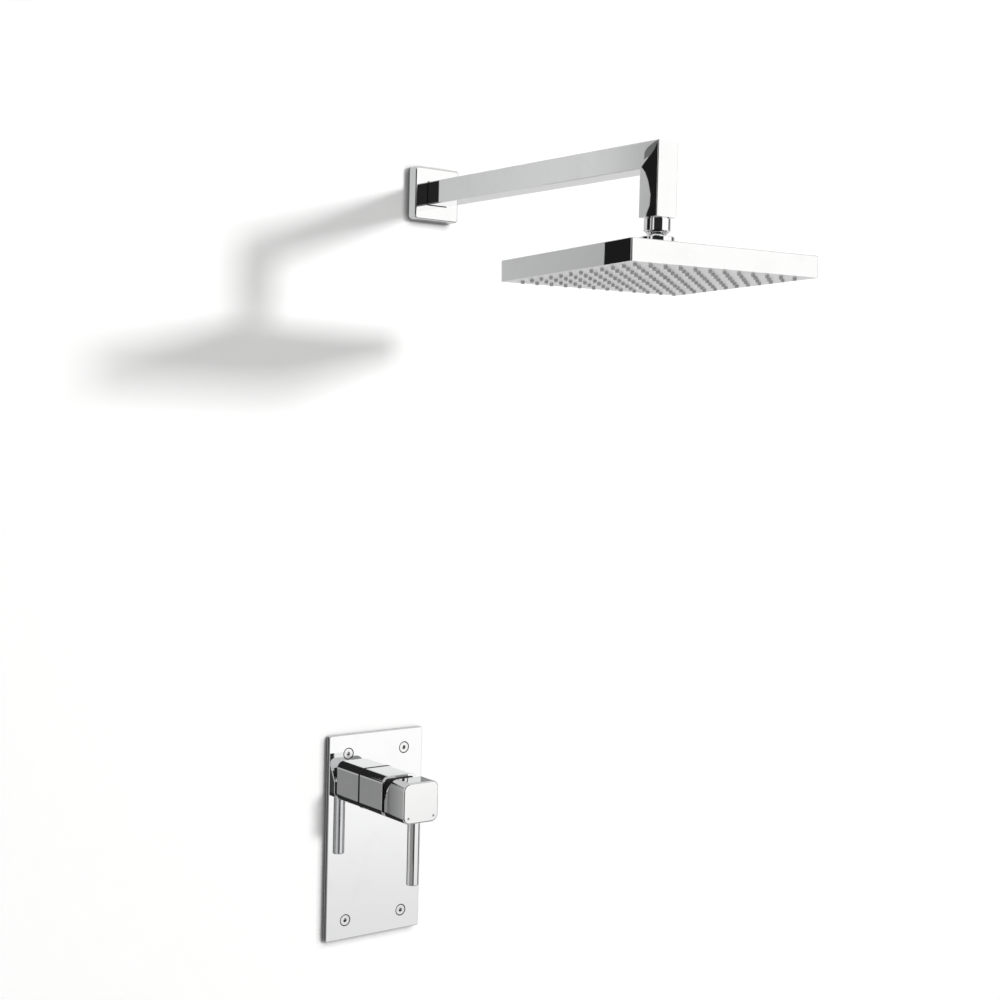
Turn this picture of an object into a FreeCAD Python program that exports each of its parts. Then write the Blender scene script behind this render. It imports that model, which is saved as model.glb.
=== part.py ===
import FreeCAD, Part
import math
import os

# Square concealed shower mixer with its wall arm and square rain head, in millimetres.
# The origin is the middle of the trim plate's back, on the finished wall.
# X runs to the right along the wall, Y runs into the wall and Z runs up.

# Fits and cutting
OVERRUN = 1.0  # how far a cut runs past the face that it opens
SAME = 0.0001  # two points closer than this lie in one plane
THREAD_GAP = 0.05  # radial room between a screw thread and its plain bore
SLIP_GAP = 0.1  # room between pieces that are pushed together
TURN_GAP = 0.3  # room between pieces that move past each other
PIN_GAP = 0.05  # radial running room on the turret pin
FACE_GAP = 0.05  # room between flat faces that slide on each other

# Trim plate and its screws
PLATE_WIDTH = 115.0
PLATE_HEIGHT = 215.0
PLATE_THICK = 5.0
PLATE_CORNER = 1.5
PLATE_EDGE = 0.8
SCREW_INSET_X = 23.0
SCREW_INSET_Z = 20.0
SCREW_RADIUS = 3.0
SCREW_LENGTH = 24.0
HEAD_RADIUS = 5.2
HEAD_RIM = 0.8
HEAD_RING = 1.1  # width of the shallow ring round a screw head
HEAD_SUNK = 0.2
KEY_FLATS = 4.0
KEY_DEPTH = 2.4
SEAL_INSET = 4.0
SEAL_WIDTH = 4.0
SEAL_DEPTH = 2.0

# Square body and handle
BODY_SIDE = 42.0
BODY_CORNER = 7.5
BODY_RISE = 49.0  # height of the cartridge axis above the plate's middle
SLEEVE_LENGTH = 44.0
SLEEVE_WALL = 2.5
SLEEVE_FLANGE = 4.0
SLEEVE_EDGE = 0.5
SLEEVE_FOOT = 0.6  # rounding where the sleeve meets the plate
KNOB_GAP = 4.5
KNOB_LENGTH = 32.5
KNOB_WALL = 3.0
KNOB_EDGE = 0.9
KNOB_SLANT = 28.0  # degrees, the upper rear of the knob leans forward for the flow lift
SLANT_DROP = 2.0  # the slant starts this far below the axis
DOME_POCKET = 7.5  # depth of the knob's rear pocket
KNOB_WEB = 8.0
CAP_THICK = 4.0
CAP_EDGE = 1.8
CAP_PLUG = 3.0
CAP_PLUG_WALL = 1.5
DOT_RADIUS = 1.3
DOT_DEPTH = 0.5
DOT_INSET_X = 5.8
DOT_INSET_Z = 6.3
LEVER_RADIUS = 6.5
LEVER_SETBACK = 13.0  # lever axis behind the cap's front
LEVER_DROP = 66.0
LEVER_TIP = 1.4
LEVER_SEAT = 9.0
LEVER_STUD_RADIUS = 3.0
LEVER_STUD = 5.0
LEVER_BOSS_WALL = 2.0
SET_SCREW_RADIUS = 2.5
SET_SCREW_LENGTH = 8.0
SET_KEY_FLATS = 2.5

# Cartridge, measured from its pivot pin along the body's axis
PIVOT_SETBACK = 8.0  # pin behind the sleeve's front
FLOW_LIFT = 25.0  # degrees
DOME_RADIUS = 18.0
DOME_WALL = 1.2
DOME_MOUTH = 13.5
DOME_SKIRT = 9.0
NUT_PAST_PIN = 1.0
NUT_LIP = 2.0
NUT_LENGTH = 12.0
NUT_MOUTH = 9.5
BARREL_RADIUS = 15.0
BARREL_SETBACK = 1.0
BARREL_ROOM = 1.0
CUP_RADIUS = 12.6
HOUSING_LENGTH = 22.0
HOUSING_WALL = 2.0
HOUSING_LIP = 3.0
HOUSING_MOUTH = 8.5
BASE_THICK = 4.0
PORT_RADIUS = 3.0
PORT_PLACE_SHARES = ((-0.5, -0.2), (0.5, -0.2), (0.0, 0.5))
PORT_SEAL_WALL = 1.0
PORT_SEAL_DEPTH = 1.6
FIXED_DISC_RADIUS = 10.2
MOVING_DISC_RADIUS = 7.0
DISC_THICK = 3.0
CARRIER_THICK = 6.5
CARRIER_FLOOR = 1.0
TURRET_GAP = 0.6
TURRET_NECK = 9.0  # how far the turret stands out of the housing
STEM_SIDE = 7.0
STEM_PAST_PIN = 31.0
STEM_ARM = 12.5  # pin to the middle of the stem's tip
STEM_NECK_RADIUS = 2.2
TIP_RADIUS = 3.0
TIP_PLAY = 0.5
PIN_RADIUS = 1.5
O_RING_WIDTH = 2.4
O_RING_DEPTH = 1.6

# Pieces in the wall
POST_STANDOFF = 3.0
POST_RADIUS = 5.5
POST_LENGTH = 17.0
POST_SPIGOT = 4.0
BRACKET_WIDTH = 105.0
BRACKET_HEIGHT = 205.0
BRACKET_THICK = 3.0
BRACKET_CORNER = 6.0
BRACKET_WINDOW = 56.0
BRACKET_WINDOW_DROP = 84.0  # middle of the window below the cartridge axis
FIXING_RADIUS = 3.25
FIXING_INSET_X = 7.5
FIXING_SPAN = 150.0
BLOCK_WIDTH = 52.0
BLOCK_DEPTH = 36.0
BLOCK_HEIGHT = 48.0
BLOCK_CORNER = 4.0
BOSS_RADIUS = 14.0
BOSS_LENGTH = 14.0
PIPE_THREAD_RADIUS = 9.9  # half-inch pipe thread at its pitch line
PIPE_THREAD_DEPTH = 15.0
WATER_RADIUS = 5.5
BOLT_RADIUS = 2.5
BOLT_HEAD_RADIUS = 4.25
BOLT_HEAD = 3.0
BOLT_GRIP = 10.0
BOLT_INSET_X = 5.5
BOLT_INSET_Z = 5.5
BOLT_KEY_FLATS = 4.0
BOLT_KEY_DEPTH = 1.8
PIPE_RADIUS = 7.5
PIPE_WALL = 0.8
PIPE_BEND = 45.0
PIPE_JOG = 30.0  # degrees off the vertical in the jog
PIPE_JOG_RISE = 90.0  # straight run above the lower adaptor before the jog
ADAPTOR_THREAD = 12.0
ADAPTOR_FLATS = 24.0
ADAPTOR_HEX = 7.0
ADAPTOR_SHANK_RADIUS = 10.5
ADAPTOR_SHANK = 10.0
ADAPTOR_SOCKET = 13.0
OLIVE_LENGTH = 4.0
OLIVE_WALL = 1.6
COMPRESSION_FLATS = 26.0
COMPRESSION_COVER = 9.0
COMPRESSION_LIP = 3.0
ELBOW_SET = 2.0  # elbow's face behind the finished wall
ELBOW_RADIUS = 13.5
ELBOW_BORE = 6.5
ELBOW_DROP = 28.0
ELBOW_PAD_WIDTH = 66.0
ELBOW_PAD_HEIGHT = 30.0
ELBOW_PAD_THICK = 4.0
ELBOW_PAD_CORNER = 8.0
ELBOW_HOLE_SPAN = 48.0
ELBOW_HOLE_RADIUS = 2.75

# Wall arm
ARM_SHIFT = 56.2  # arm axis to the right of the plate's middle
ARM_RISE = 672.5  # arm axis above the plate's middle
ARM_REACH = 355.4  # wall to the drop's axis
ARM_SIDE = 24.0
ARM_WALL = 2.0
ARM_CORNER = 1.0
ARM_DROP = 54.5  # arm axis to the drop's lower end
SPIGOT_PLUG = 12.0
SPIGOT_FLANGE = 1.5
SPIGOT_THREAD = 7.0
ESCUTCHEON_SIDE = 55.0
ESCUTCHEON_THICK = 12.0
ESCUTCHEON_CORNER = 3.5
ESCUTCHEON_EDGE = 2.0
ESCUTCHEON_WALL = 2.5
ESCUTCHEON_SEAL = 4.0
ESCUTCHEON_ROOM = 0.6  # open gap round the arm, backed by the seal
LIMITER_LENGTH = 4.0
LIMITER_HOLE = 1.5
WASHER_THICK = 2.0
WASHER_WALL = 3.0

# Swivel and rain head
SWIVEL_RADIUS = 12.0
SWIVEL_CHAMFER = 1.2
SWIVEL_LIP = 1.7
TAIL_SHOULDER = 0.6
TAIL_BORE = 4.0
SHANK_RADIUS = 6.5
CLIP_THICK = 1.2
CLIP_GROOVE = 0.9
CLIP_STANDS = 2.2
CLIP_SLIT = 3.0
COLLAR_RADIUS = 10.25
COLLAR_FOOT_RADIUS = 7.0
COLLAR_HEIGHT = 3.5
COLLAR_LIFT = 11.0  # collar's lower face above the ball's middle
BALL_RADIUS = 13.0
BALL_FLAT = 8.5  # ball's flat below its middle
RING_RADIUS = 16.0
RING_LIFT = 10.6  # ring's top above the ball's middle
RING_EDGE = 0.8
RING_RIM = 1.2  # flat rim outside the dished mouth
RING_DISH = 2.6
RING_MOUTH = 10.0
RING_THREAD_WALL = 1.6
SOCKET_LIFT = 0.3
SOCKET_FLOOR = 11.5  # socket's floor below the ball's middle
SOCKET_FLOOR_THICK = 2.5
SOCKET_WALL = 2.2
BALL_SEAL_HEIGHT = 7.0
HEAD_SIDE = 200.0
HEAD_THICK = 19.0
HEAD_CORNER = 1.5
HEAD_EDGE = 0.6
HEAD_WALL = 2.0
HEAD_LEDGE = 5.0
HEAD_SINK = 7.8  # head's top below the ball's middle
SPRAY_THICK = 2.0
MAT_THICK = 2.0
GASKET_THICK = 2.0
NOZZLE_ROWS = 12
NOZZLE_SPAN = 171.2
NOZZLE_RADIUS = 1.9
NOZZLE_TIP_RADIUS = 1.5
NOZZLE_STANDS = 2.2
NOZZLE_BORE = 0.6
HEAD_TURN = -5.55  # degrees, the head as it was left
HEAD_TILT = -1.18  # degrees

V = FreeCAD.Vector
RIGHT = V(1, 0, 0)
INWARD = V(0, 1, 0)
OUTWARD = V(0, -1, 0)
UP = V(0, 0, 1)
DOWN = V(0, 0, -1)

# Places along the body's axis, as distances out from the wall
AXIS = V(0, 0, BODY_RISE)
SLEEVE_FRONT = PLATE_THICK + SLEEVE_LENGTH
KNOB_REAR = SLEEVE_FRONT + KNOB_GAP
KNOB_FRONT = KNOB_REAR + KNOB_LENGTH
CAP_FRONT = KNOB_FRONT + CAP_THICK
LEVER_OUT = CAP_FRONT - LEVER_SETBACK
LEVER_BOSS = 2 * (LEVER_RADIUS + LEVER_BOSS_WALL)
PIN_OUT = SLEEVE_FRONT - PIVOT_SETBACK
NUT_FRONT = PIN_OUT + NUT_PAST_PIN
HOUSING_FRONT = NUT_FRONT - NUT_LIP
HOUSING_REAR = HOUSING_FRONT - HOUSING_LENGTH
HOUSING_BORE = CUP_RADIUS - SLIP_GAP - HOUSING_WALL
CUP_SEAT = HOUSING_REAR - BASE_THICK
BARREL_FRONT = HOUSING_FRONT - BARREL_SETBACK
NUT_RADIUS = DOME_RADIUS - DOME_WALL - SLIP_GAP
MOVING_DISC_REAR = HOUSING_REAR + DISC_THICK + FACE_GAP
CARRIER_REAR = MOVING_DISC_REAR + DISC_THICK
CARRIER_FRONT = CARRIER_REAR + CARRIER_THICK
TURRET_REAR = CARRIER_FRONT + TURRET_GAP
TIP_OUT = PIN_OUT - STEM_ARM
DISC_TRAVEL = STEM_ARM * math.sin(math.radians(FLOW_LIFT))
O_RING_OUT = PLATE_THICK + SLEEVE_FLANGE / 2

# Places in the wall
BRACKET_FRONT = POST_STANDOFF + POST_LENGTH
BRACKET_BACK = BRACKET_FRONT + BRACKET_THICK
WATER_DEPTH = BRACKET_BACK + BLOCK_DEPTH / 2
OUTLET_TOP = BODY_RISE + BLOCK_HEIGHT / 2 + BOSS_LENGTH
ELBOW_FOOT = ARM_RISE - ELBOW_DROP
THREAD_BORE = PIPE_THREAD_RADIUS + THREAD_GAP

# Places on the arm and the head
ARM_AXIS = V(ARM_SHIFT, 0, ARM_RISE)
CORNER = V(ARM_SHIFT, -ARM_REACH, ARM_RISE)
DROP_FOOT = CORNER + DOWN * ARM_DROP
ARM_BORE = ARM_SIDE - 2 * ARM_WALL
SWIVEL_TOP = DROP_FOOT + DOWN * SLIP_GAP
TAIL_DEPTH = SPIGOT_THREAD + WASHER_THICK + 2 * SLIP_GAP
LIP_DEPTH = TAIL_DEPTH + TAIL_SHOULDER + CLIP_THICK + SLIP_GAP
SWIVEL_HEIGHT = LIP_DEPTH + SWIVEL_LIP
COLLAR_DEPTH = SWIVEL_HEIGHT + TURN_GAP
BALL_DEPTH = COLLAR_DEPTH + COLLAR_HEIGHT + COLLAR_LIFT
BALL = SWIVEL_TOP + DOWN * BALL_DEPTH
BALL_ROOM = BALL_RADIUS + TURN_GAP
SOCKET_OUTER = RING_RADIUS - RING_THREAD_WALL - THREAD_GAP
HEAD_TOP = BALL + DOWN * HEAD_SINK
HEAD_FOOT = HEAD_TOP + DOWN * HEAD_THICK
HEAD_OPENING = HEAD_SIDE - 2 * HEAD_WALL
HEAD_STACK = SPRAY_THICK + MAT_THICK + GASKET_THICK


def out(distance, across=0, above=0):
    """Point in front of the wall, measured from the body's axis."""
    return AXIS + OUTWARD * distance + RIGHT * across + UP * above


def rod(radius, start, direction, length):
    """Round bar from a start point along a direction."""
    return Part.makeCylinder(radius, length, start, direction)


def rounded_face(centre, across, along, width, height, corner):
    """Rectangle with round corners, lying across two directions."""
    edges = []
    ends = []
    for quarter in range(4):
        start = math.radians(90 * quarter)
        turns = [start, start + math.radians(45), start + math.radians(90)]
        side = 1 if quarter in (0, 3) else -1
        rise = 1 if quarter in (0, 1) else -1
        hub = centre + across * (side * (width / 2 - corner)) + along * (rise * (height / 2 - corner))
        points = [hub + (across * math.cos(turn) + along * math.sin(turn)) * corner for turn in turns]
        edges.append(Part.Arc(*points).toShape())
        ends.append((points[0], points[2]))
    for quarter in range(4):
        edges.append(Part.makeLine(ends[quarter][1], ends[(quarter + 1) % 4][0]))
    return Part.Face(Part.Wire(Part.__sortEdges__(edges)))


def bar_out(centre, length, width, height, corner):
    """Rounded bar standing out from the wall."""
    return rounded_face(centre, RIGHT, UP, width, height, corner).extrude(OUTWARD * length)


def bar_down(centre, length, width, corner):
    """Rounded square bar hanging down."""
    return rounded_face(centre, RIGHT, INWARD, width, width, corner).extrude(DOWN * length)


def slab_out(centre, length, width, height):
    """Square-cornered block standing out from the wall, centred on a point."""
    return Part.makeBox(width, length, height, centre - V(width / 2, length, height / 2))


def slab_down(centre, length, width):
    """Square-cornered square block hanging down from a point."""
    return Part.makeBox(width, width, length, centre - V(width / 2, width / 2, length))


def hexagon(start, direction, length, flats):
    """Hexagonal bar from a start point along a direction."""
    side = UP if abs(direction.z) < SAME else RIGHT
    other = direction.cross(side)
    reach = flats / math.sqrt(3)
    turns = [math.radians(60 * step) for step in range(7)]
    points = [start + (side * math.cos(turn) + other * math.sin(turn)) * reach for turn in turns]
    return Part.Face(Part.makePolygon(points)).extrude(direction * length)


def turned(start, direction, outline):
    """Turned piece: the outline gives distance along the axis and radius."""
    side = UP if abs(direction.z) < SAME else RIGHT
    points = [start + direction * along + side * radius for along, radius in outline]
    face = Part.Face(Part.makePolygon(points + points[:1]))
    return face.revolve(start, direction, 360)


def ring(start, direction, length, outer, inner):
    """Plain ring."""
    return turned(start, direction, ((0, inner), (length, inner), (length, outer), (0, outer)))


def edges_in_plane(shape, point, normal):
    """Edges that lie wholly in one plane."""
    found = []
    for edge in shape.Edges:
        middle = (edge.FirstParameter + edge.LastParameter) / 2
        spots = [edge.valueAt(where) for where in (edge.FirstParameter, middle, edge.LastParameter)]
        if all(abs((spot - point).dot(normal)) < SAME for spot in spots):
            found.append(edge)
    return found


def plate_spots(inset_x, inset_z, width, height):
    """The four places at an inset from a rectangle's sides, at the wall."""
    reach_x = width / 2 - inset_x
    reach_z = height / 2 - inset_z
    return [V(x * reach_x, 0, z * reach_z) for x in (-1, 1) for z in (-1, 1)]


def upright(shape):
    """Turn a head piece about the ball to the way the head was left."""
    shape.rotate(BALL, RIGHT, HEAD_TILT)
    shape.rotate(BALL, UP, HEAD_TURN)
    return shape


def save(name, shape):
    """Write one piece to its own file."""
    shape.exportStep("parts/" + name + ".step")


def screw_outline(gap, ring_width, end):
    """Half section of a countersunk screw, or of its hole, from the plate's front."""
    cone_top = HEAD_SUNK + HEAD_RIM
    cone_foot = cone_top + HEAD_RADIUS - SCREW_RADIUS
    top = -OVERRUN if ring_width else HEAD_SUNK
    rim = HEAD_RADIUS + ring_width
    cone = HEAD_RADIUS + gap
    shank = SCREW_RADIUS + gap
    head = ((top, 0), (top, rim), (cone_top, rim), (cone_top, cone))
    return head + ((cone_foot, shank), (end, shank), (end, 0))


def screw_places():
    """The screw heads' middles on the plate's front."""
    spots = plate_spots(SCREW_INSET_X, SCREW_INSET_Z, PLATE_WIDTH, PLATE_HEIGHT)
    return [spot + OUTWARD * PLATE_THICK for spot in spots]


def seal_frame(extra):
    """Frame near the plate's rim, on its back."""
    width = PLATE_WIDTH - 2 * SEAL_INSET + 2 * extra
    height = PLATE_HEIGHT - 2 * SEAL_INSET + 2 * extra
    trim = 2 * SEAL_WIDTH + 4 * extra
    depth = SEAL_DEPTH + extra
    frame = slab_out(V(0, 0, 0), depth, width, height)
    return frame.cut(slab_out(V(0, OVERRUN, 0), depth + 2 * OVERRUN, width - trim, height - trim))


def make_plate():
    """Trim plate with its screw holes, its barrel hole and the groove for its seal."""
    plate = bar_out(V(0, 0, 0), PLATE_THICK, PLATE_WIDTH, PLATE_HEIGHT, PLATE_CORNER)
    plate = plate.makeFillet(PLATE_EDGE, edges_in_plane(plate, OUTWARD * PLATE_THICK, OUTWARD))
    plate = plate.cut(rod(BARREL_RADIUS + BARREL_ROOM, out(-OVERRUN), OUTWARD, PLATE_THICK + 2 * OVERRUN))
    hole = screw_outline(THREAD_GAP, HEAD_RING, PLATE_THICK + OVERRUN)
    for spot in screw_places():
        plate = plate.cut(turned(spot, INWARD, hole))
    return plate.cut(seal_frame(SLIP_GAP))


def make_screws():
    """The plate's four countersunk socket screws."""
    screws = []
    for spot in screw_places():
        screw = turned(spot, INWARD, screw_outline(0, 0, SCREW_LENGTH))
        screws.append(screw.cut(hexagon(spot, INWARD, HEAD_SUNK + KEY_DEPTH, KEY_FLATS)))
    return Part.makeCompound(screws)


def make_sleeve():
    """Square sleeve that hides the barrel, with a flange at the plate."""
    sleeve = bar_out(out(PLATE_THICK), SLEEVE_LENGTH, BODY_SIDE, BODY_SIDE, BODY_CORNER)
    sleeve = sleeve.makeFillet(SLEEVE_EDGE, edges_in_plane(sleeve, out(SLEEVE_FRONT), OUTWARD))
    sleeve = sleeve.makeFillet(SLEEVE_FOOT, edges_in_plane(sleeve, out(PLATE_THICK), OUTWARD))
    room = BODY_SIDE - 2 * SLEEVE_WALL
    depth = SLEEVE_LENGTH - SLEEVE_FLANGE + OVERRUN
    corner = BODY_CORNER - SLEEVE_WALL
    sleeve = sleeve.cut(bar_out(out(PLATE_THICK + SLEEVE_FLANGE), depth, room, room, corner))
    return sleeve.cut(rod(BARREL_RADIUS + SLIP_GAP, out(PLATE_THICK - OVERRUN), OUTWARD, SLEEVE_LENGTH))


def make_o_ring():
    """Sleeve's O-ring, squeezed into the barrel's groove."""
    start = out(O_RING_OUT - O_RING_WIDTH / 2 + SLIP_GAP)
    return ring(start, OUTWARD, O_RING_WIDTH - 2 * SLIP_GAP, BARREL_RADIUS, BARREL_RADIUS - O_RING_DEPTH)


def make_dome():
    """Round cover over the cartridge nut, with its sphere centred on the pin."""
    pin = out(PIN_OUT)
    skirt = rod(DOME_RADIUS, out(PIN_OUT - DOME_SKIRT), OUTWARD, DOME_SKIRT)
    inner = DOME_RADIUS - DOME_WALL
    dome = skirt.fuse(Part.makeSphere(DOME_RADIUS, pin)).cut(Part.makeSphere(inner, pin))
    dome = dome.cut(rod(inner, out(PIN_OUT - DOME_RADIUS - OVERRUN), OUTWARD, DOME_RADIUS + OVERRUN))
    wide = 3 * DOME_RADIUS
    behind = slab_out(out(PIN_OUT - 2 * DOME_RADIUS), 2 * DOME_RADIUS - DOME_SKIRT, wide, wide)
    return dome.cut(behind).cut(rod(DOME_MOUTH, pin, OUTWARD, DOME_RADIUS + OVERRUN))


def wedge(points, half_width):
    """Prism across X from points given as distance out and height above the axis."""
    corners = [out(distance, -half_width, above) for distance, above in points]
    return Part.Face(Part.makePolygon(corners + corners[:1])).extrude(RIGHT * (2 * half_width))


def make_knob():
    """Hollow square knob with a slanted upper rear, a web for the stem and a boss for the lever."""
    knob = bar_out(out(KNOB_REAR), KNOB_LENGTH, BODY_SIDE, BODY_SIDE, BODY_CORNER)
    rise = BODY_SIDE
    lean = rise * math.tan(math.radians(KNOB_SLANT))
    back = KNOB_REAR - OVERRUN
    corners = ((KNOB_REAR, -SLANT_DROP), (KNOB_REAR + lean, rise - SLANT_DROP), (back, rise - SLANT_DROP))
    knob = knob.cut(wedge(corners + ((back, -SLANT_DROP),), BODY_SIDE))
    slant = V(0, -math.cos(math.radians(KNOB_SLANT)), -math.sin(math.radians(KNOB_SLANT)))
    bend = out(KNOB_REAR, 0, -SLANT_DROP)
    rear = edges_in_plane(knob, bend, OUTWARD) + edges_in_plane(knob, bend, slant)
    rims = [edge for edge in rear if not (bend.z - SAME < edge.CenterOfMass.z < bend.z + SAME)]
    knob = knob.makeFillet(KNOB_EDGE, rims)
    room = BODY_SIDE - 2 * KNOB_WALL
    corner = BODY_CORNER - KNOB_WALL
    web_rear = KNOB_REAR + DOME_POCKET
    web_front = web_rear + KNOB_WEB
    knob = knob.cut(bar_out(out(KNOB_REAR - OVERRUN), DOME_POCKET + OVERRUN, room, room, corner))
    knob = knob.cut(bar_out(out(web_front), KNOB_FRONT - web_front + OVERRUN, room, room, corner))
    floor = -BODY_SIDE / 2
    stud_top = floor + LEVER_SEAT + LEVER_STUD + SLIP_GAP
    boss_foot = floor + KNOB_WALL / 2
    boss_front = KNOB_FRONT - SLIP_GAP
    boss = Part.makeBox(LEVER_BOSS, boss_front - web_front, stud_top - boss_foot,
                        out(boss_front, -LEVER_BOSS / 2, boss_foot))
    knob = knob.fuse(boss)
    below = out(LEVER_OUT, 0, floor - OVERRUN)
    knob = knob.cut(rod(LEVER_RADIUS + THREAD_GAP, below, UP, LEVER_SEAT + OVERRUN))
    knob = knob.cut(rod(LEVER_STUD_RADIUS + THREAD_GAP, below, UP, stud_top - floor + 2 * OVERRUN))
    socket = STEM_SIDE + 2 * SLIP_GAP
    depth = KNOB_WEB + 2 * OVERRUN
    knob = knob.cut(slab_out(out(web_rear - OVERRUN), depth, socket, socket))
    tunnel = out(web_rear + KNOB_WEB / 2, 0, floor - OVERRUN)
    return knob.cut(rod(SET_SCREW_RADIUS + THREAD_GAP, tunnel, UP, BODY_SIDE / 2)).removeSplitter()


def make_cap():
    """Front cap with a plug frame that snaps into the knob and two dimples for the dots."""
    cap = bar_out(out(KNOB_FRONT), CAP_THICK, BODY_SIDE, BODY_SIDE, BODY_CORNER)
    cap = cap.makeFillet(CAP_EDGE, edges_in_plane(cap, out(CAP_FRONT), OUTWARD))
    side = BODY_SIDE - 2 * KNOB_WALL - 2 * SLIP_GAP
    corner = BODY_CORNER - KNOB_WALL - SLIP_GAP
    plug = bar_out(out(KNOB_FRONT - CAP_PLUG), CAP_PLUG, side, side, corner)
    hollow = side - 2 * CAP_PLUG_WALL
    depth = CAP_PLUG + OVERRUN
    plug = plug.cut(bar_out(out(KNOB_FRONT - depth), depth, hollow, hollow, corner - CAP_PLUG_WALL))
    notch = LEVER_BOSS + 2 * SLIP_GAP
    plug = plug.cut(Part.makeBox(notch, depth, side, out(KNOB_FRONT, -notch / 2, -side)))
    cap = cap.fuse(plug)
    for spot in dot_places():
        cap = cap.cut(rod(DOT_RADIUS + THREAD_GAP, spot, OUTWARD, DOT_DEPTH + OVERRUN))
    return cap


def dot_places():
    """Floors of the two dimples in the cap's lower corners."""
    across = BODY_SIDE / 2 - DOT_INSET_X
    above = DOT_INSET_Z - BODY_SIDE / 2
    return [out(CAP_FRONT - DOT_DEPTH, side * across, above) for side in (-1, 1)]


def make_dots():
    """Hot and cold index dots, flush in the cap."""
    return Part.makeCompound([rod(DOT_RADIUS, spot, OUTWARD, DOT_DEPTH) for spot in dot_places()])


def make_lever():
    """Round lever pin with a rounded tip and a threaded stud into the knob."""
    floor = -BODY_SIDE / 2
    tip = out(LEVER_OUT, 0, floor - LEVER_DROP)
    lever = rod(LEVER_RADIUS, tip, UP, LEVER_DROP + LEVER_SEAT)
    lever = lever.makeFillet(LEVER_TIP, edges_in_plane(lever, tip, UP))
    return lever.fuse(rod(LEVER_STUD_RADIUS, tip, UP, LEVER_DROP + LEVER_SEAT + LEVER_STUD))


def make_set_screw():
    """Grub screw that holds the knob on the stem."""
    top = out(KNOB_REAR + DOME_POCKET + KNOB_WEB / 2, 0, -STEM_SIDE / 2 - SLIP_GAP / 2)
    screw = rod(SET_SCREW_RADIUS, top, DOWN, SET_SCREW_LENGTH)
    foot = top + DOWN * SET_SCREW_LENGTH
    return screw.cut(hexagon(foot + DOWN * OVERRUN, UP, SET_SCREW_LENGTH / 2 + OVERRUN, SET_KEY_FLATS))


def make_nut():
    """Ring nut that holds the cartridge in the barrel."""
    rear = NUT_FRONT - NUT_LENGTH
    bore = BARREL_RADIUS + THREAD_GAP
    outline = ((rear, bore), (HOUSING_FRONT, bore), (HOUSING_FRONT, NUT_MOUTH), (NUT_FRONT, NUT_MOUTH),
               (NUT_FRONT, NUT_RADIUS), (rear, NUT_RADIUS))
    return turned(AXIS, OUTWARD, outline)


def make_housing():
    """Cartridge housing with a lip that keeps the turret in."""
    outer = CUP_RADIUS - SLIP_GAP
    lip_rear = HOUSING_FRONT - HOUSING_LIP
    outline = ((HOUSING_REAR, HOUSING_BORE), (lip_rear, HOUSING_BORE), (lip_rear, HOUSING_MOUTH),
               (HOUSING_FRONT, HOUSING_MOUTH), (HOUSING_FRONT, outer), (HOUSING_REAR, outer))
    return turned(AXIS, OUTWARD, outline)


def port_places(distance):
    """Hot, cold and mixed water ports at a distance out from the wall."""
    return [out(distance, x * CUP_RADIUS, z * CUP_RADIUS) for x, z in PORT_PLACE_SHARES]


def make_base():
    """Cartridge base with three ports and pockets for their seals."""
    base = rod(CUP_RADIUS - SLIP_GAP, out(CUP_SEAT), OUTWARD, BASE_THICK)
    for spot in port_places(CUP_SEAT - OVERRUN):
        base = base.cut(rod(PORT_RADIUS, spot, OUTWARD, BASE_THICK + 2 * OVERRUN))
        base = base.cut(rod(PORT_RADIUS + PORT_SEAL_WALL, spot, OUTWARD, PORT_SEAL_DEPTH + OVERRUN))
    return base


def make_base_seals():
    """Port seals, flush with the cup's seat."""
    outer = PORT_RADIUS + PORT_SEAL_WALL - FACE_GAP
    seals = [ring(spot, OUTWARD, PORT_SEAL_DEPTH, outer, PORT_RADIUS) for spot in port_places(CUP_SEAT)]
    return Part.makeCompound(seals)


def make_fixed_disc():
    """Fixed ceramic disc with the three ports."""
    disc = rod(FIXED_DISC_RADIUS, out(HOUSING_REAR), OUTWARD, DISC_THICK)
    for spot in port_places(HOUSING_REAR):
        disc = disc.cut(rod(PORT_RADIUS, spot + INWARD * OVERRUN, OUTWARD, DISC_THICK + 2 * OVERRUN))
    return disc


def make_moving_disc():
    """Moving ceramic disc with a mixing hollow in its working face, at the closed end of its travel."""
    hub = out(MOVING_DISC_REAR, 0, DISC_TRAVEL / 2)
    disc = rod(MOVING_DISC_RADIUS, hub, OUTWARD, DISC_THICK)
    hollow = MOVING_DISC_RADIUS - DISC_THICK / 2
    return disc.cut(rod(hollow, hub + INWARD * OVERRUN, OUTWARD, DISC_THICK / 2 + OVERRUN))


def make_carrier():
    """Carrier that the stem's tip pushes, with a slot for the tip."""
    hub = out(CARRIER_REAR, 0, DISC_TRAVEL / 2)
    carrier = rod(MOVING_DISC_RADIUS, hub, OUTWARD, CARRIER_THICK)
    width = 2 * (TIP_RADIUS + TURN_GAP)
    height = 2 * (TIP_RADIUS + TIP_PLAY)
    return carrier.cut(slab_out(out(CARRIER_REAR + CARRIER_FLOOR), CARRIER_THICK, width, height))


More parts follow.
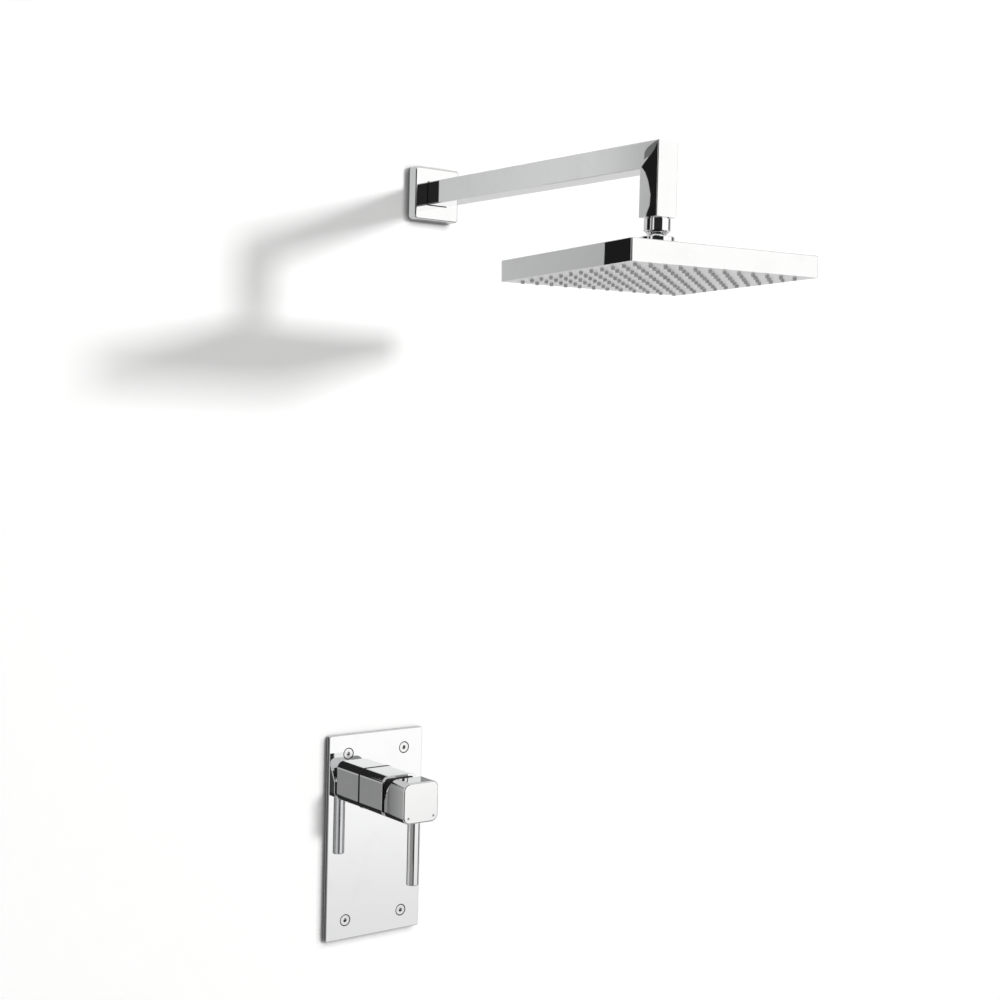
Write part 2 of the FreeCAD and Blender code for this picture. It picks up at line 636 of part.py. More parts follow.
def make_turret():
    """Turning turret with the stem's slot and the pin's hole."""
    flange = HOUSING_BORE - TURN_GAP
    neck = HOUSING_MOUTH - TURN_GAP
    step = HOUSING_FRONT - HOUSING_LIP - TURN_GAP
    front = HOUSING_FRONT + TURRET_NECK - HOUSING_LIP
    rear = TURRET_REAR
    outline = ((rear, 0), (rear, flange), (step, flange), (step, neck), (front, neck), (front, 0))
    turret = turned(AXIS, OUTWARD, outline)
    slope = math.tan(math.radians(FLOW_LIFT))
    half = (STEM_SIDE / 2 + TURN_GAP) / math.cos(math.radians(FLOW_LIFT))
    front_end = front + OVERRUN
    rear_end = rear - OVERRUN
    slot = wedge(((rear_end, half), (PIN_OUT, half), (front_end, half + (front_end - PIN_OUT) * slope),
                  (front_end, -half), (PIN_OUT, -half), (rear_end, -half - (PIN_OUT - rear_end) * slope)),
                 STEM_SIDE / 2 + TURN_GAP)
    turret = turret.cut(slot)
    return turret.cut(rod(PIN_RADIUS, out(PIN_OUT, -neck - OVERRUN), RIGHT, 2 * (neck + OVERRUN)))


def make_pin():
    """Turret pin that the stem rocks on."""
    half = HOUSING_MOUTH - TURN_GAP - SLIP_GAP * 2
    return rod(PIN_RADIUS, out(PIN_OUT, -half), RIGHT, 2 * half)


def make_stem():
    """Stem with a square shank, a slim neck and a round tip."""
    neck_front = TURRET_REAR + STEM_SIDE / 4
    stem = slab_out(out(neck_front), PIN_OUT + STEM_PAST_PIN - neck_front, STEM_SIDE, STEM_SIDE)
    stem = stem.fuse(rod(STEM_NECK_RADIUS, out(TIP_OUT), OUTWARD, neck_front + OVERRUN - TIP_OUT))
    stem = stem.fuse(Part.makeSphere(TIP_RADIUS, out(TIP_OUT)))
    return stem.cut(rod(PIN_RADIUS + PIN_GAP, out(PIN_OUT, -STEM_SIDE), RIGHT, 2 * STEM_SIDE))


def make_valve_body():
    """Brass valve body: barrel, block, two inlets at the sides and an outlet on top."""
    middle = AXIS + INWARD * WATER_DEPTH
    back = AXIS + INWARD * (BRACKET_BACK + BLOCK_DEPTH)
    block = bar_out(back, BLOCK_DEPTH, BLOCK_WIDTH, BLOCK_HEIGHT, BLOCK_CORNER)
    barrel = rod(BARREL_RADIUS, AXIS + INWARD * WATER_DEPTH, OUTWARD, WATER_DEPTH + BARREL_FRONT)
    body = block.fuse(barrel)
    ports = ((RIGHT, BLOCK_WIDTH), (RIGHT * -1, BLOCK_WIDTH), (UP, BLOCK_HEIGHT))
    for direction, size in ports:
        body = body.fuse(rod(BOSS_RADIUS, middle, direction, size / 2 + BOSS_LENGTH))
    body = body.removeSplitter()
    for direction, size in ports:
        mouth = middle + direction * (size / 2 + BOSS_LENGTH + OVERRUN)
        body = body.cut(rod(THREAD_BORE, mouth, direction * -1, PIPE_THREAD_DEPTH + OVERRUN))
    body = body.cut(rod(CUP_RADIUS, out(CUP_SEAT), OUTWARD, BARREL_FRONT - CUP_SEAT + OVERRUN))
    groove = ring(out(O_RING_OUT - O_RING_WIDTH / 2), OUTWARD, O_RING_WIDTH,
                  BARREL_RADIUS + OVERRUN, BARREL_RADIUS - O_RING_DEPTH)
    body = body.cut(groove)
    for spot, (direction, size) in zip(port_places(CUP_SEAT + OVERRUN), (ports[1], ports[0], ports[2])):
        body = body.cut(rod(PORT_RADIUS, spot, INWARD, CUP_SEAT + OVERRUN + WATER_DEPTH))
        inner = V(spot.x, WATER_DEPTH, spot.z)
        reach = size / 2 + BOSS_LENGTH - PIPE_THREAD_DEPTH + OVERRUN
        span = reach - abs((inner - middle).dot(direction))
        body = body.cut(rod(WATER_RADIUS, inner, direction, span))
    for spot in bolt_places():
        body = body.cut(rod(BOLT_RADIUS + THREAD_GAP, spot, INWARD, BRACKET_THICK + BOLT_GRIP + OVERRUN))
    return body


def bolt_places():
    """Valve bolts on the bracket's front."""
    spots = plate_spots(BOLT_INSET_X, BOLT_INSET_Z, BLOCK_WIDTH, BLOCK_HEIGHT)
    return [spot + AXIS + INWARD * BRACKET_FRONT for spot in spots]


def fixing_places():
    """Wall fixing holes on the bracket's front."""
    reach = BRACKET_WIDTH / 2 - FIXING_INSET_X
    return [V(x * reach, BRACKET_FRONT, z * FIXING_SPAN / 2) for x in (-1, 1) for z in (-1, 1)]


def post_places():
    """Posts' front ends behind the plate's screws."""
    spots = plate_spots(SCREW_INSET_X, SCREW_INSET_Z, PLATE_WIDTH, PLATE_HEIGHT)
    return [spot + INWARD * POST_STANDOFF for spot in spots]


def make_bracket():
    """Pressed steel bracket that carries the valve body and the plate's posts."""
    bracket = bar_out(INWARD * BRACKET_BACK, BRACKET_THICK, BRACKET_WIDTH, BRACKET_HEIGHT, BRACKET_CORNER)
    through = BRACKET_THICK + 2 * OVERRUN
    back = INWARD * (BRACKET_BACK + OVERRUN)
    bracket = bracket.cut(rod(BARREL_RADIUS + BARREL_ROOM, AXIS + back, OUTWARD, through))
    window = back + UP * (BODY_RISE - BRACKET_WINDOW_DROP)
    bracket = bracket.cut(bar_out(window, through, BRACKET_WINDOW, BRACKET_WINDOW, BRACKET_CORNER))
    cuts = [(spot, FIXING_RADIUS) for spot in fixing_places()]
    cuts += [(spot, BOLT_RADIUS + SLIP_GAP) for spot in bolt_places()]
    cuts += [(spot + INWARD * POST_LENGTH, POST_SPIGOT) for spot in post_places()]
    for spot, radius in cuts:
        bracket = bracket.cut(rod(radius, spot + OUTWARD * OVERRUN, INWARD, through))
    return bracket


def make_posts():
    """Threaded posts, each with a spigot through the bracket."""
    posts = []
    for spot in post_places():
        post = rod(POST_RADIUS, spot, INWARD, POST_LENGTH)
        post = post.fuse(rod(POST_SPIGOT, spot, INWARD, POST_LENGTH + BRACKET_THICK))
        bore = POST_LENGTH + BRACKET_THICK + 2 * OVERRUN
        posts.append(post.cut(rod(SCREW_RADIUS + THREAD_GAP, spot + OUTWARD * OVERRUN, INWARD, bore)))
    return Part.makeCompound(posts)


def make_bolts():
    """Socket bolts that hold the valve body to the bracket."""
    bolts = []
    for spot in bolt_places():
        bolt = rod(BOLT_HEAD_RADIUS, spot, OUTWARD, BOLT_HEAD)
        bolt = bolt.fuse(rod(BOLT_RADIUS, spot, INWARD, BRACKET_THICK + BOLT_GRIP))
        key = spot + OUTWARD * (BOLT_HEAD + OVERRUN)
        bolts.append(bolt.cut(hexagon(key, INWARD, BOLT_KEY_DEPTH + OVERRUN, BOLT_KEY_FLATS)))
    return Part.makeCompound(bolts)


def pipe_ends():
    """Port mouths of the valve body and the wall elbow, each with the way that water leaves it."""
    lower = V(0, WATER_DEPTH, OUTLET_TOP)
    upper = V(ARM_SHIFT, WATER_DEPTH, ELBOW_FOOT)
    return ((lower, UP), (upper, DOWN))


def make_adaptor(mouth, away):
    """Pipe adaptor: thread in the port, hexagon, shank with the pipe's socket."""
    adaptor = rod(PIPE_THREAD_RADIUS, mouth, away * -1, ADAPTOR_THREAD)
    adaptor = adaptor.fuse(hexagon(mouth, away, ADAPTOR_HEX, ADAPTOR_FLATS))
    end = ADAPTOR_HEX + ADAPTOR_SHANK
    adaptor = adaptor.fuse(rod(ADAPTOR_SHANK_RADIUS, mouth, away, end))
    foot = mouth + away * -(ADAPTOR_THREAD + OVERRUN)
    adaptor = adaptor.cut(rod(WATER_RADIUS, foot, away, ADAPTOR_THREAD + end))
    socket = mouth + away * (end - ADAPTOR_SOCKET)
    return adaptor.cut(rod(PIPE_RADIUS + SLIP_GAP, socket, away, ADAPTOR_SOCKET + OVERRUN))


def adaptor_end(mouth, away):
    """End of an adaptor's shank."""
    return mouth + away * (ADAPTOR_HEX + ADAPTOR_SHANK)


def make_compression_nut(mouth, away):
    """Compression nut over an adaptor's shank and the olive."""
    end = adaptor_end(mouth, away)
    start = end + away * -COMPRESSION_COVER
    room = COMPRESSION_COVER + OLIVE_LENGTH + SLIP_GAP
    nut = hexagon(start, away, room + COMPRESSION_LIP, COMPRESSION_FLATS)
    nut = nut.cut(rod(ADAPTOR_SHANK_RADIUS + THREAD_GAP, start + away * -OVERRUN, away, room + OVERRUN))
    return nut.cut(rod(PIPE_RADIUS + SLIP_GAP, start, away, room + COMPRESSION_LIP + OVERRUN))


def make_olive(mouth, away):
    """Olive, a soft ring squeezed on the pipe."""
    bore = PIPE_RADIUS + FACE_GAP
    belly = bore + OLIVE_WALL
    outline = ((0, bore), (OLIVE_LENGTH, bore), (OLIVE_LENGTH / 2, belly))
    return turned(adaptor_end(mouth, away), away, outline)


def pipe_path():
    """Riser's middle line: up, across in the jog, and up again, with round bends."""
    lower, upper = [adaptor_end(mouth, away) + away * -ADAPTOR_SOCKET for mouth, away in pipe_ends()]
    turn = math.radians(PIPE_JOG)
    first = lower + UP * PIPE_JOG_RISE
    second = first + RIGHT * ARM_SHIFT + UP * (ARM_SHIFT / math.tan(turn))
    slope = RIGHT * math.sin(turn) + UP * math.cos(turn)
    tangent = PIPE_BEND * math.tan(turn / 2)
    sag = PIPE_BEND / math.cos(turn / 2) - PIPE_BEND
    edges = []
    here = lower
    for knee, before, after in ((first, UP, slope), (second, slope, UP)):
        start = knee - before * tangent
        end = knee + after * tangent
        inner = (after - before).normalize()
        edges.append(Part.makeLine(here, start))
        edges.append(Part.Arc(start, knee + inner * sag, end).toShape())
        here = end
    edges.append(Part.makeLine(here, upper))
    return Part.Wire(edges), lower


def make_riser():
    """Copper riser pipe in the wall."""
    path, foot = pipe_path()
    outer = path.makePipeShell([Part.Wire(Part.makeCircle(PIPE_RADIUS, foot, UP))], True, False)
    inner = path.makePipeShell([Part.Wire(Part.makeCircle(PIPE_RADIUS - PIPE_WALL, foot, UP))], True, False)
    pipe = outer.cut(inner)
    section = math.pi * (PIPE_RADIUS ** 2 - (PIPE_RADIUS - PIPE_WALL) ** 2)
    print("riser volume against section times length:", round(pipe.Volume / (section * path.Length), 4))
    return pipe


def make_elbow():
    """Wall elbow with a fixing pad at its back."""
    mouth = ARM_AXIS + INWARD * ELBOW_SET
    knee = ARM_AXIS + INWARD * WATER_DEPTH
    depth = WATER_DEPTH - ELBOW_SET
    back = depth + ELBOW_RADIUS + ELBOW_PAD_THICK / 2
    elbow = rod(ELBOW_RADIUS, mouth, INWARD, back).fuse(rod(ELBOW_RADIUS, knee, DOWN, ELBOW_DROP))
    pad_back = mouth + INWARD * back
    pad = bar_out(pad_back, ELBOW_PAD_THICK, ELBOW_PAD_WIDTH, ELBOW_PAD_HEIGHT, ELBOW_PAD_CORNER)
    for side in (-1, 1):
        spot = pad_back + RIGHT * (side * ELBOW_HOLE_SPAN / 2) + INWARD * OVERRUN
        pad = pad.cut(rod(ELBOW_HOLE_RADIUS, spot, OUTWARD, ELBOW_PAD_THICK + 2 * OVERRUN))
    elbow = elbow.fuse(pad).removeSplitter()
    elbow = elbow.cut(rod(THREAD_BORE, mouth + OUTWARD * OVERRUN, INWARD, PIPE_THREAD_DEPTH + OVERRUN))
    elbow = elbow.cut(rod(ELBOW_BORE, mouth, INWARD, depth + ELBOW_BORE))
    foot = knee + DOWN * ELBOW_DROP
    elbow = elbow.cut(rod(THREAD_BORE, foot + DOWN * OVERRUN, UP, PIPE_THREAD_DEPTH + OVERRUN))
    return elbow.cut(rod(WATER_RADIUS, foot, UP, ELBOW_DROP))


def make_wall_spigot():
    """Arm's wall end: a plug in the square tube and a thread into the elbow."""
    side = ARM_BORE - 2 * SLIP_GAP
    spigot = slab_out(ARM_AXIS, SPIGOT_PLUG, side, side)
    reach = ELBOW_SET + PIPE_THREAD_DEPTH - SLIP_GAP
    spigot = spigot.fuse(rod(PIPE_THREAD_RADIUS, ARM_AXIS, INWARD, reach))
    length = reach + SPIGOT_PLUG + 2 * OVERRUN
    return spigot.cut(rod(WATER_RADIUS, ARM_AXIS + INWARD * (reach + OVERRUN), OUTWARD, length))


def mitre(reach_sign):
    """Half space beyond the arm's mitre, on the wall side or the drop side."""
    far = 2 * (ARM_REACH + ARM_DROP)
    low = CORNER + V(0, far, -far)
    high = CORNER + V(0, -far, far)
    corner = CORNER + V(0, reach_sign * far, reach_sign * far)
    shift = RIGHT * -far
    face = Part.Face(Part.makePolygon([low + shift, high + shift, corner + shift, low + shift]))
    return face.extrude(RIGHT * (2 * far))


def make_arm_tube():
    """Level square tube, mitred at the drop."""
    length = ARM_REACH + ARM_SIDE
    tube = bar_out(ARM_AXIS, length, ARM_SIDE, ARM_SIDE, ARM_CORNER)
    tube = tube.cut(slab_out(ARM_AXIS + INWARD * OVERRUN, length + 2 * OVERRUN, ARM_BORE, ARM_BORE))
    return tube.cut(mitre(-1))


def make_arm_drop():
    """Hanging square tube, mitred at the level tube."""
    top = CORNER + UP * ARM_SIDE
    length = ARM_SIDE + ARM_DROP - SPIGOT_FLANGE
    tube = bar_down(top, length, ARM_SIDE, ARM_CORNER)
    tube = tube.cut(slab_down(top + UP * OVERRUN, length + 2 * OVERRUN, ARM_BORE))
    return tube.cut(mitre(1))


def make_outlet_spigot():
    """Drop's lower end: a closing flange, a plug in the tube and a thread for the swivel nut."""
    spigot = bar_down(DROP_FOOT + UP * SPIGOT_FLANGE, SPIGOT_FLANGE, ARM_SIDE, ARM_CORNER)
    plug = slab_down(DROP_FOOT + UP * (SPIGOT_FLANGE + SPIGOT_PLUG), SPIGOT_PLUG, ARM_BORE - 2 * SLIP_GAP)
    spigot = spigot.fuse(plug).fuse(rod(PIPE_THREAD_RADIUS, DROP_FOOT, DOWN, SPIGOT_THREAD))
    length = SPIGOT_THREAD + SPIGOT_FLANGE + SPIGOT_PLUG + 2 * OVERRUN
    return spigot.cut(rod(WATER_RADIUS, DROP_FOOT + DOWN * (SPIGOT_THREAD + OVERRUN), UP, length))


def make_escutcheon():
    """Square wall rosette with a hollow back and a hole for the arm."""
    rosette = bar_out(ARM_AXIS, ESCUTCHEON_THICK, ESCUTCHEON_SIDE, ESCUTCHEON_SIDE, ESCUTCHEON_CORNER)
    front = ARM_AXIS + OUTWARD * ESCUTCHEON_THICK
    rosette = rosette.makeFillet(ESCUTCHEON_EDGE, edges_in_plane(rosette, front, OUTWARD))
    room = ESCUTCHEON_SIDE - 2 * ESCUTCHEON_WALL
    behind = ARM_AXIS + INWARD * OVERRUN
    rosette = rosette.cut(slab_out(behind, ESCUTCHEON_THICK - ESCUTCHEON_WALL + OVERRUN, room, room))
    hole = ARM_SIDE + 2 * ESCUTCHEON_ROOM
    return rosette.cut(bar_out(behind, ESCUTCHEON_THICK + 2 * OVERRUN, hole, hole, ARM_CORNER))


def make_escutcheon_seal():
    """Square rubber grip between the rosette and the arm."""
    start = ARM_AXIS + OUTWARD * (ESCUTCHEON_THICK - ESCUTCHEON_WALL - ESCUTCHEON_SEAL)
    side = ARM_SIDE + 2 * ESCUTCHEON_SEAL
    seal = slab_out(start, ESCUTCHEON_SEAL, side, side)
    hole = ARM_SIDE + 2 * FACE_GAP
    return seal.cut(bar_out(start + INWARD * OVERRUN, ESCUTCHEON_SEAL + 2 * OVERRUN, hole, hole, ARM_CORNER))


def make_limiter():
    """Flow limiter at the mouth of the outlet spigot."""
    foot = DROP_FOOT + DOWN * SPIGOT_THREAD
    return ring(foot, UP, LIMITER_LENGTH, WATER_RADIUS - FACE_GAP, LIMITER_HOLE)


def make_washer():
    """Filter washer in the swivel nut, under the spigot."""
    top = SWIVEL_TOP + DOWN * (SPIGOT_THREAD + FACE_GAP)
    outer = THREAD_BORE - SLIP_GAP
    return ring(top, DOWN, WASHER_THICK, outer, outer - WASHER_WALL)


def make_swivel_nut():
    """Round swivel nut with a lip that the tail hangs from."""
    edge = SWIVEL_RADIUS - SWIVEL_CHAMFER
    hole = SHANK_RADIUS + TURN_GAP
    outline = ((0, THREAD_BORE), (LIP_DEPTH, THREAD_BORE), (LIP_DEPTH, hole), (SWIVEL_HEIGHT, hole),
               (SWIVEL_HEIGHT, edge), (SWIVEL_HEIGHT - SWIVEL_CHAMFER, SWIVEL_RADIUS),
               (SWIVEL_CHAMFER, SWIVEL_RADIUS), (0, edge))
    return turned(SWIVEL_TOP, DOWN, outline)


def make_tail():
    """Swivel tail: shank with the clip's groove, collar and hollow ball."""
    groove_top = TAIL_DEPTH + TAIL_SHOULDER
    groove_foot = groove_top + CLIP_THICK
    groove = SHANK_RADIUS - CLIP_GROOVE
    outline = ((TAIL_DEPTH, 0), (TAIL_DEPTH, SHANK_RADIUS), (groove_top, SHANK_RADIUS), (groove_top, groove),
               (groove_foot, groove), (groove_foot, SHANK_RADIUS), (COLLAR_DEPTH, SHANK_RADIUS),
               (COLLAR_DEPTH, COLLAR_RADIUS), (COLLAR_DEPTH + COLLAR_HEIGHT, COLLAR_FOOT_RADIUS),
               (COLLAR_DEPTH + COLLAR_HEIGHT, SHANK_RADIUS), (BALL_DEPTH, SHANK_RADIUS), (BALL_DEPTH, 0))
    ball = Part.makeSphere(BALL_RADIUS, BALL)
    ball = ball.cut(slab_down(BALL + DOWN * BALL_FLAT, BALL_RADIUS, 3 * BALL_RADIUS))
    above = slab_down(BALL + UP * (COLLAR_LIFT + BALL_RADIUS), BALL_RADIUS, 3 * BALL_RADIUS)
    tail = turned(SWIVEL_TOP, DOWN, outline).fuse(ball.cut(above))
    return tail.cut(rod(TAIL_BORE, SWIVEL_TOP, DOWN, BALL_DEPTH + BALL_RADIUS))


def make_clip():
    """Split ring that keeps the tail in the nut."""
    top = SWIVEL_TOP + DOWN * (TAIL_DEPTH + TAIL_SHOULDER + FACE_GAP)
    inner = SHANK_RADIUS - CLIP_GROOVE + FACE_GAP
    clip = ring(top, DOWN, CLIP_THICK - 2 * FACE_GAP, SHANK_RADIUS + CLIP_STANDS, inner)
    reach = SHANK_RADIUS + CLIP_STANDS + OVERRUN
    tall = CLIP_THICK + 2 * OVERRUN
    slit = Part.makeBox(CLIP_SLIT, reach, tall, top - V(CLIP_SLIT / 2, reach, tall - OVERRUN))
    return clip.cut(slit)


def make_ball_ring():
    """Screwed ring that holds the head on the ball."""
    foot = BALL + DOWN * (HEAD_SINK - SLIP_GAP)
    height = HEAD_SINK - SLIP_GAP + RING_LIFT
    shoulder = height - RING_EDGE
    dish = height - RING_DISH
    rim = RING_RADIUS - RING_EDGE
    outline = ((0, 0), (0, RING_RADIUS), (shoulder, RING_RADIUS), (height, rim), (height, rim - RING_RIM),
               (dish, RING_MOUTH), (dish, 0))
    piece = turned(foot, UP, outline).cut(Part.makeSphere(BALL_ROOM, BALL))
    thread = SOCKET_OUTER + THREAD_GAP
    return piece.cut(rod(thread, foot + DOWN * OVERRUN, UP, HEAD_SINK + SOCKET_LIFT + OVERRUN))


def make_ball_seal():
    """Seat ring under the ball, in the head's socket."""
    start = BALL + DOWN * SOCKET_FLOOR
    seat = rod(BALL_ROOM - SLIP_GAP, start, UP, BALL_SEAL_HEIGHT).cut(Part.makeSphere(BALL_ROOM, BALL))
    return seat.cut(rod(WATER_RADIUS, start + DOWN * OVERRUN, UP, BALL_SEAL_HEIGHT))


def make_shell():
    """Head shell: shallow square box, open below, with the ball's socket on top."""
    shell = bar_down(HEAD_TOP, HEAD_THICK, HEAD_SIDE, HEAD_CORNER)
    shell = shell.makeFillet(HEAD_EDGE, edges_in_plane(shell, HEAD_TOP, UP))
    inner = HEAD_OPENING - 2 * HEAD_LEDGE
    cavity = slab_down(HEAD_TOP + DOWN * HEAD_WALL, HEAD_THICK, inner)
    shell = shell.cut(cavity).cut(slab_down(HEAD_FOOT + UP * HEAD_STACK, HEAD_THICK, HEAD_OPENING))
    floor = SOCKET_FLOOR + SOCKET_FLOOR_THICK
    shell = shell.fuse(rod(SOCKET_OUTER, BALL + UP * SOCKET_LIFT, DOWN, SOCKET_LIFT + HEAD_SINK + HEAD_WALL))
    neck = BALL_ROOM + SOCKET_WALL
    start = HEAD_SINK + HEAD_WALL / 2
    shell = shell.fuse(rod(neck, BALL + DOWN * start, DOWN, floor - start)).removeSplitter()
    mouth = SOCKET_LIFT + OVERRUN
    shell = shell.cut(rod(BALL_ROOM, BALL + UP * mouth, DOWN, mouth + SOCKET_FLOOR))
    return shell.cut(rod(WATER_RADIUS, BALL, DOWN, floor + OVERRUN))


def nozzle_places(height):
    """Nozzle middles at a height above the head's lower face."""
    pitch = NOZZLE_SPAN / (NOZZLE_ROWS - 1)
    corner = HEAD_FOOT + UP * height - V(NOZZLE_SPAN / 2, NOZZLE_SPAN / 2, 0)
    steps = [step * pitch for step in range(NOZZLE_ROWS)]
    return [corner + V(across, along, 0) for along in steps for across in steps]


def holed_sheet(top, thick, side, radius):
    """Square sheet with a hole at every nozzle."""
    half = side / 2
    corners = [top + V(x * half, y * half, 0) for x, y in ((-1, -1), (1, -1), (1, 1), (-1, 1), (-1, -1))]
    rims = [Part.Wire(Part.makeCircle(radius, V(spot.x, spot.y, top.z), UP)) for spot in nozzle_places(0)]
    sheet = Part.makeFace([Part.makePolygon(corners)] + rims, "Part::FaceMakerBullseye")
    return sheet.extrude(DOWN * thick)


def make_spray_plate():
    """Flat spray plate, flush with the shell's rim."""
    top = HEAD_FOOT + UP * SPRAY_THICK
    return holed_sheet(top, SPRAY_THICK, HEAD_OPENING - 2 * SLIP_GAP, NOZZLE_RADIUS + SLIP_GAP)


def make_mat():
    """Soft mat above the spray plate, with a nozzle through every hole."""
    top = HEAD_FOOT + UP * (SPRAY_THICK + MAT_THICK)
    sheet = holed_sheet(top, MAT_THICK, HEAD_OPENING - 4 * SLIP_GAP, NOZZLE_BORE)
    tip = SPRAY_THICK + NOZZLE_STANDS
    outline = ((0, NOZZLE_BORE), (tip, NOZZLE_BORE), (tip, NOZZLE_TIP_RADIUS),
               (SPRAY_THICK, NOZZLE_RADIUS), (0, NOZZLE_RADIUS))
    nozzles = [turned(spot, DOWN, outline) for spot in nozzle_places(SPRAY_THICK)]
    return sheet.multiFuse(nozzles)


def make_gasket():
    """Frame gasket between the mat and the shell's ledge."""
    top = HEAD_FOOT + UP * HEAD_STACK
    side = HEAD_OPENING - 4 * SLIP_GAP
    gasket = slab_down(top, GASKET_THICK, side)
    return gasket.cut(slab_down(top + UP * OVERRUN, GASKET_THICK + 2 * OVERRUN, side - 2 * HEAD_LEDGE))


os.makedirs("parts", exist_ok=True)

# Trim and handle
save("trim_plate", make_plate())
save("plate_screws", make_screws())
save("plate_seal", seal_frame(0))
save("body_sleeve", make_sleeve())
save("sleeve_o_ring", make_o_ring())
save("cartridge_dome", make_dome())
save("handle_knob", make_knob())
save("handle_cap", make_cap())
save("index_dots", make_dots())
save("handle_lever", make_lever())
save("handle_set_screw", make_set_screw())

# Cartridge
save("cartridge_nut", make_nut())
save("cartridge_housing", make_housing())
save("cartridge_base", make_base())
save("base_seals", make_base_seals())
save("fixed_disc", make_fixed_disc())
save("moving_disc", make_moving_disc())
save("disc_carrier", make_carrier())
save("cartridge_turret", make_turret())
save("turret_pin", make_pin())
save("cartridge_stem", make_stem())

# Pieces in the wall
save("valve_body", make_valve_body())
save("mounting_bracket", make_bracket())
save("bracket_posts", make_posts())
save("valve_bolts", make_bolts())
for name, (mouth, away) in zip(("lower_pipe_adaptor", "upper_pipe_adaptor"), pipe_ends()):
    save(name, make_adaptor(mouth, away))
save("compression_nuts", Part.makeCompound([make_compression_nut(*end) for end in pipe_ends()]))
save("compression_olives", Part.makeCompound([make_olive(*end) for end in pipe_ends()]))
save("riser_pipe", make_riser())
save("wall_elbow", make_elbow())

# Wall arm
save("arm_wall_spigot", make_wall_spigot())
save("arm_tube", make_arm_tube())
save("arm_drop", make_arm_drop())
save("arm_outlet_spigot", make_outlet_spigot())
save("arm_escutcheon", make_escutcheon())
save("escutcheon_seal", make_escutcheon_seal())
save("flow_limiter", make_limiter())
save("filter_washer", make_washer())
save("swivel_nut", make_swivel_nut())

# Rain head
save("swivel_tail", make_tail())
save("tail_clip", make_clip())
save("ball_ring", upright(make_ball_ring()))
save("ball_seal", upright(make_ball_seal()))
save("head_shell", upright(make_shell()))
save("spray_plate", upright(make_spray_plate()))
save("nozzle_mat", upright(make_mat()))
save("head_gasket", upright(make_gasket()))
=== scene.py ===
import logging
import math
from dataclasses import dataclass, field
from enum import Enum

import bpy
from mathutils import Matrix, Vector


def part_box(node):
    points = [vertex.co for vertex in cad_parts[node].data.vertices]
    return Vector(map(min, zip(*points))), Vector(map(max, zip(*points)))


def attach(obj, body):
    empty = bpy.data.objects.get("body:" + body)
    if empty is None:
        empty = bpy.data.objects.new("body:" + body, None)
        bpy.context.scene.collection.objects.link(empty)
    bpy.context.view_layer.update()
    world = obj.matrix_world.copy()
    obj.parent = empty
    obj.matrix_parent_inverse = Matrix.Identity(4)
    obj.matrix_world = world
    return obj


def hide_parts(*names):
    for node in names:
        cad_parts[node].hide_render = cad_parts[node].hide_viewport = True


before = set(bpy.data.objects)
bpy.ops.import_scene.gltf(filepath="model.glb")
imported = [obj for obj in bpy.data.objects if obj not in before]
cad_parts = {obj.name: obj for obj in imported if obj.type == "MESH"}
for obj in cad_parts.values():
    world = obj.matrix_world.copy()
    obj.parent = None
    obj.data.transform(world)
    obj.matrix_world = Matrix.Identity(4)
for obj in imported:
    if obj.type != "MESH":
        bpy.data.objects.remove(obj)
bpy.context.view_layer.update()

LOG = logging.getLogger("shower_mixer")
MM = 0.001
UPRIGHT = (math.pi / 2, 0.0, 0.0)  # turns a flat primitive to face out of the wall
SMOOTH_ANGLE = math.radians(35.0)  # sharper edges stay sharp
BEVEL_ANGLE = math.radians(40.0)  # sharper edges are softened
CORNER_STEPS = 10  # segments of a rounded corner
HOLE_STEPS = 88  # segments of a round hole
WHITE = (1.0, 1.0, 1.0, 1.0)

Triple = tuple[float, float, float]
Colour = Triple
Span = tuple[float, float]
Outline = tuple[tuple[float, float], ...]
Material = bpy.types.Material
Node = bpy.types.Node
Piece = bpy.types.Object
Socket = bpy.types.NodeSocket


class Slot(Enum):
    """Material slots of the record."""

    RUBBER = "black_rubber"
    CHROME = "polished_chrome"
    BRASS = "machined_brass"


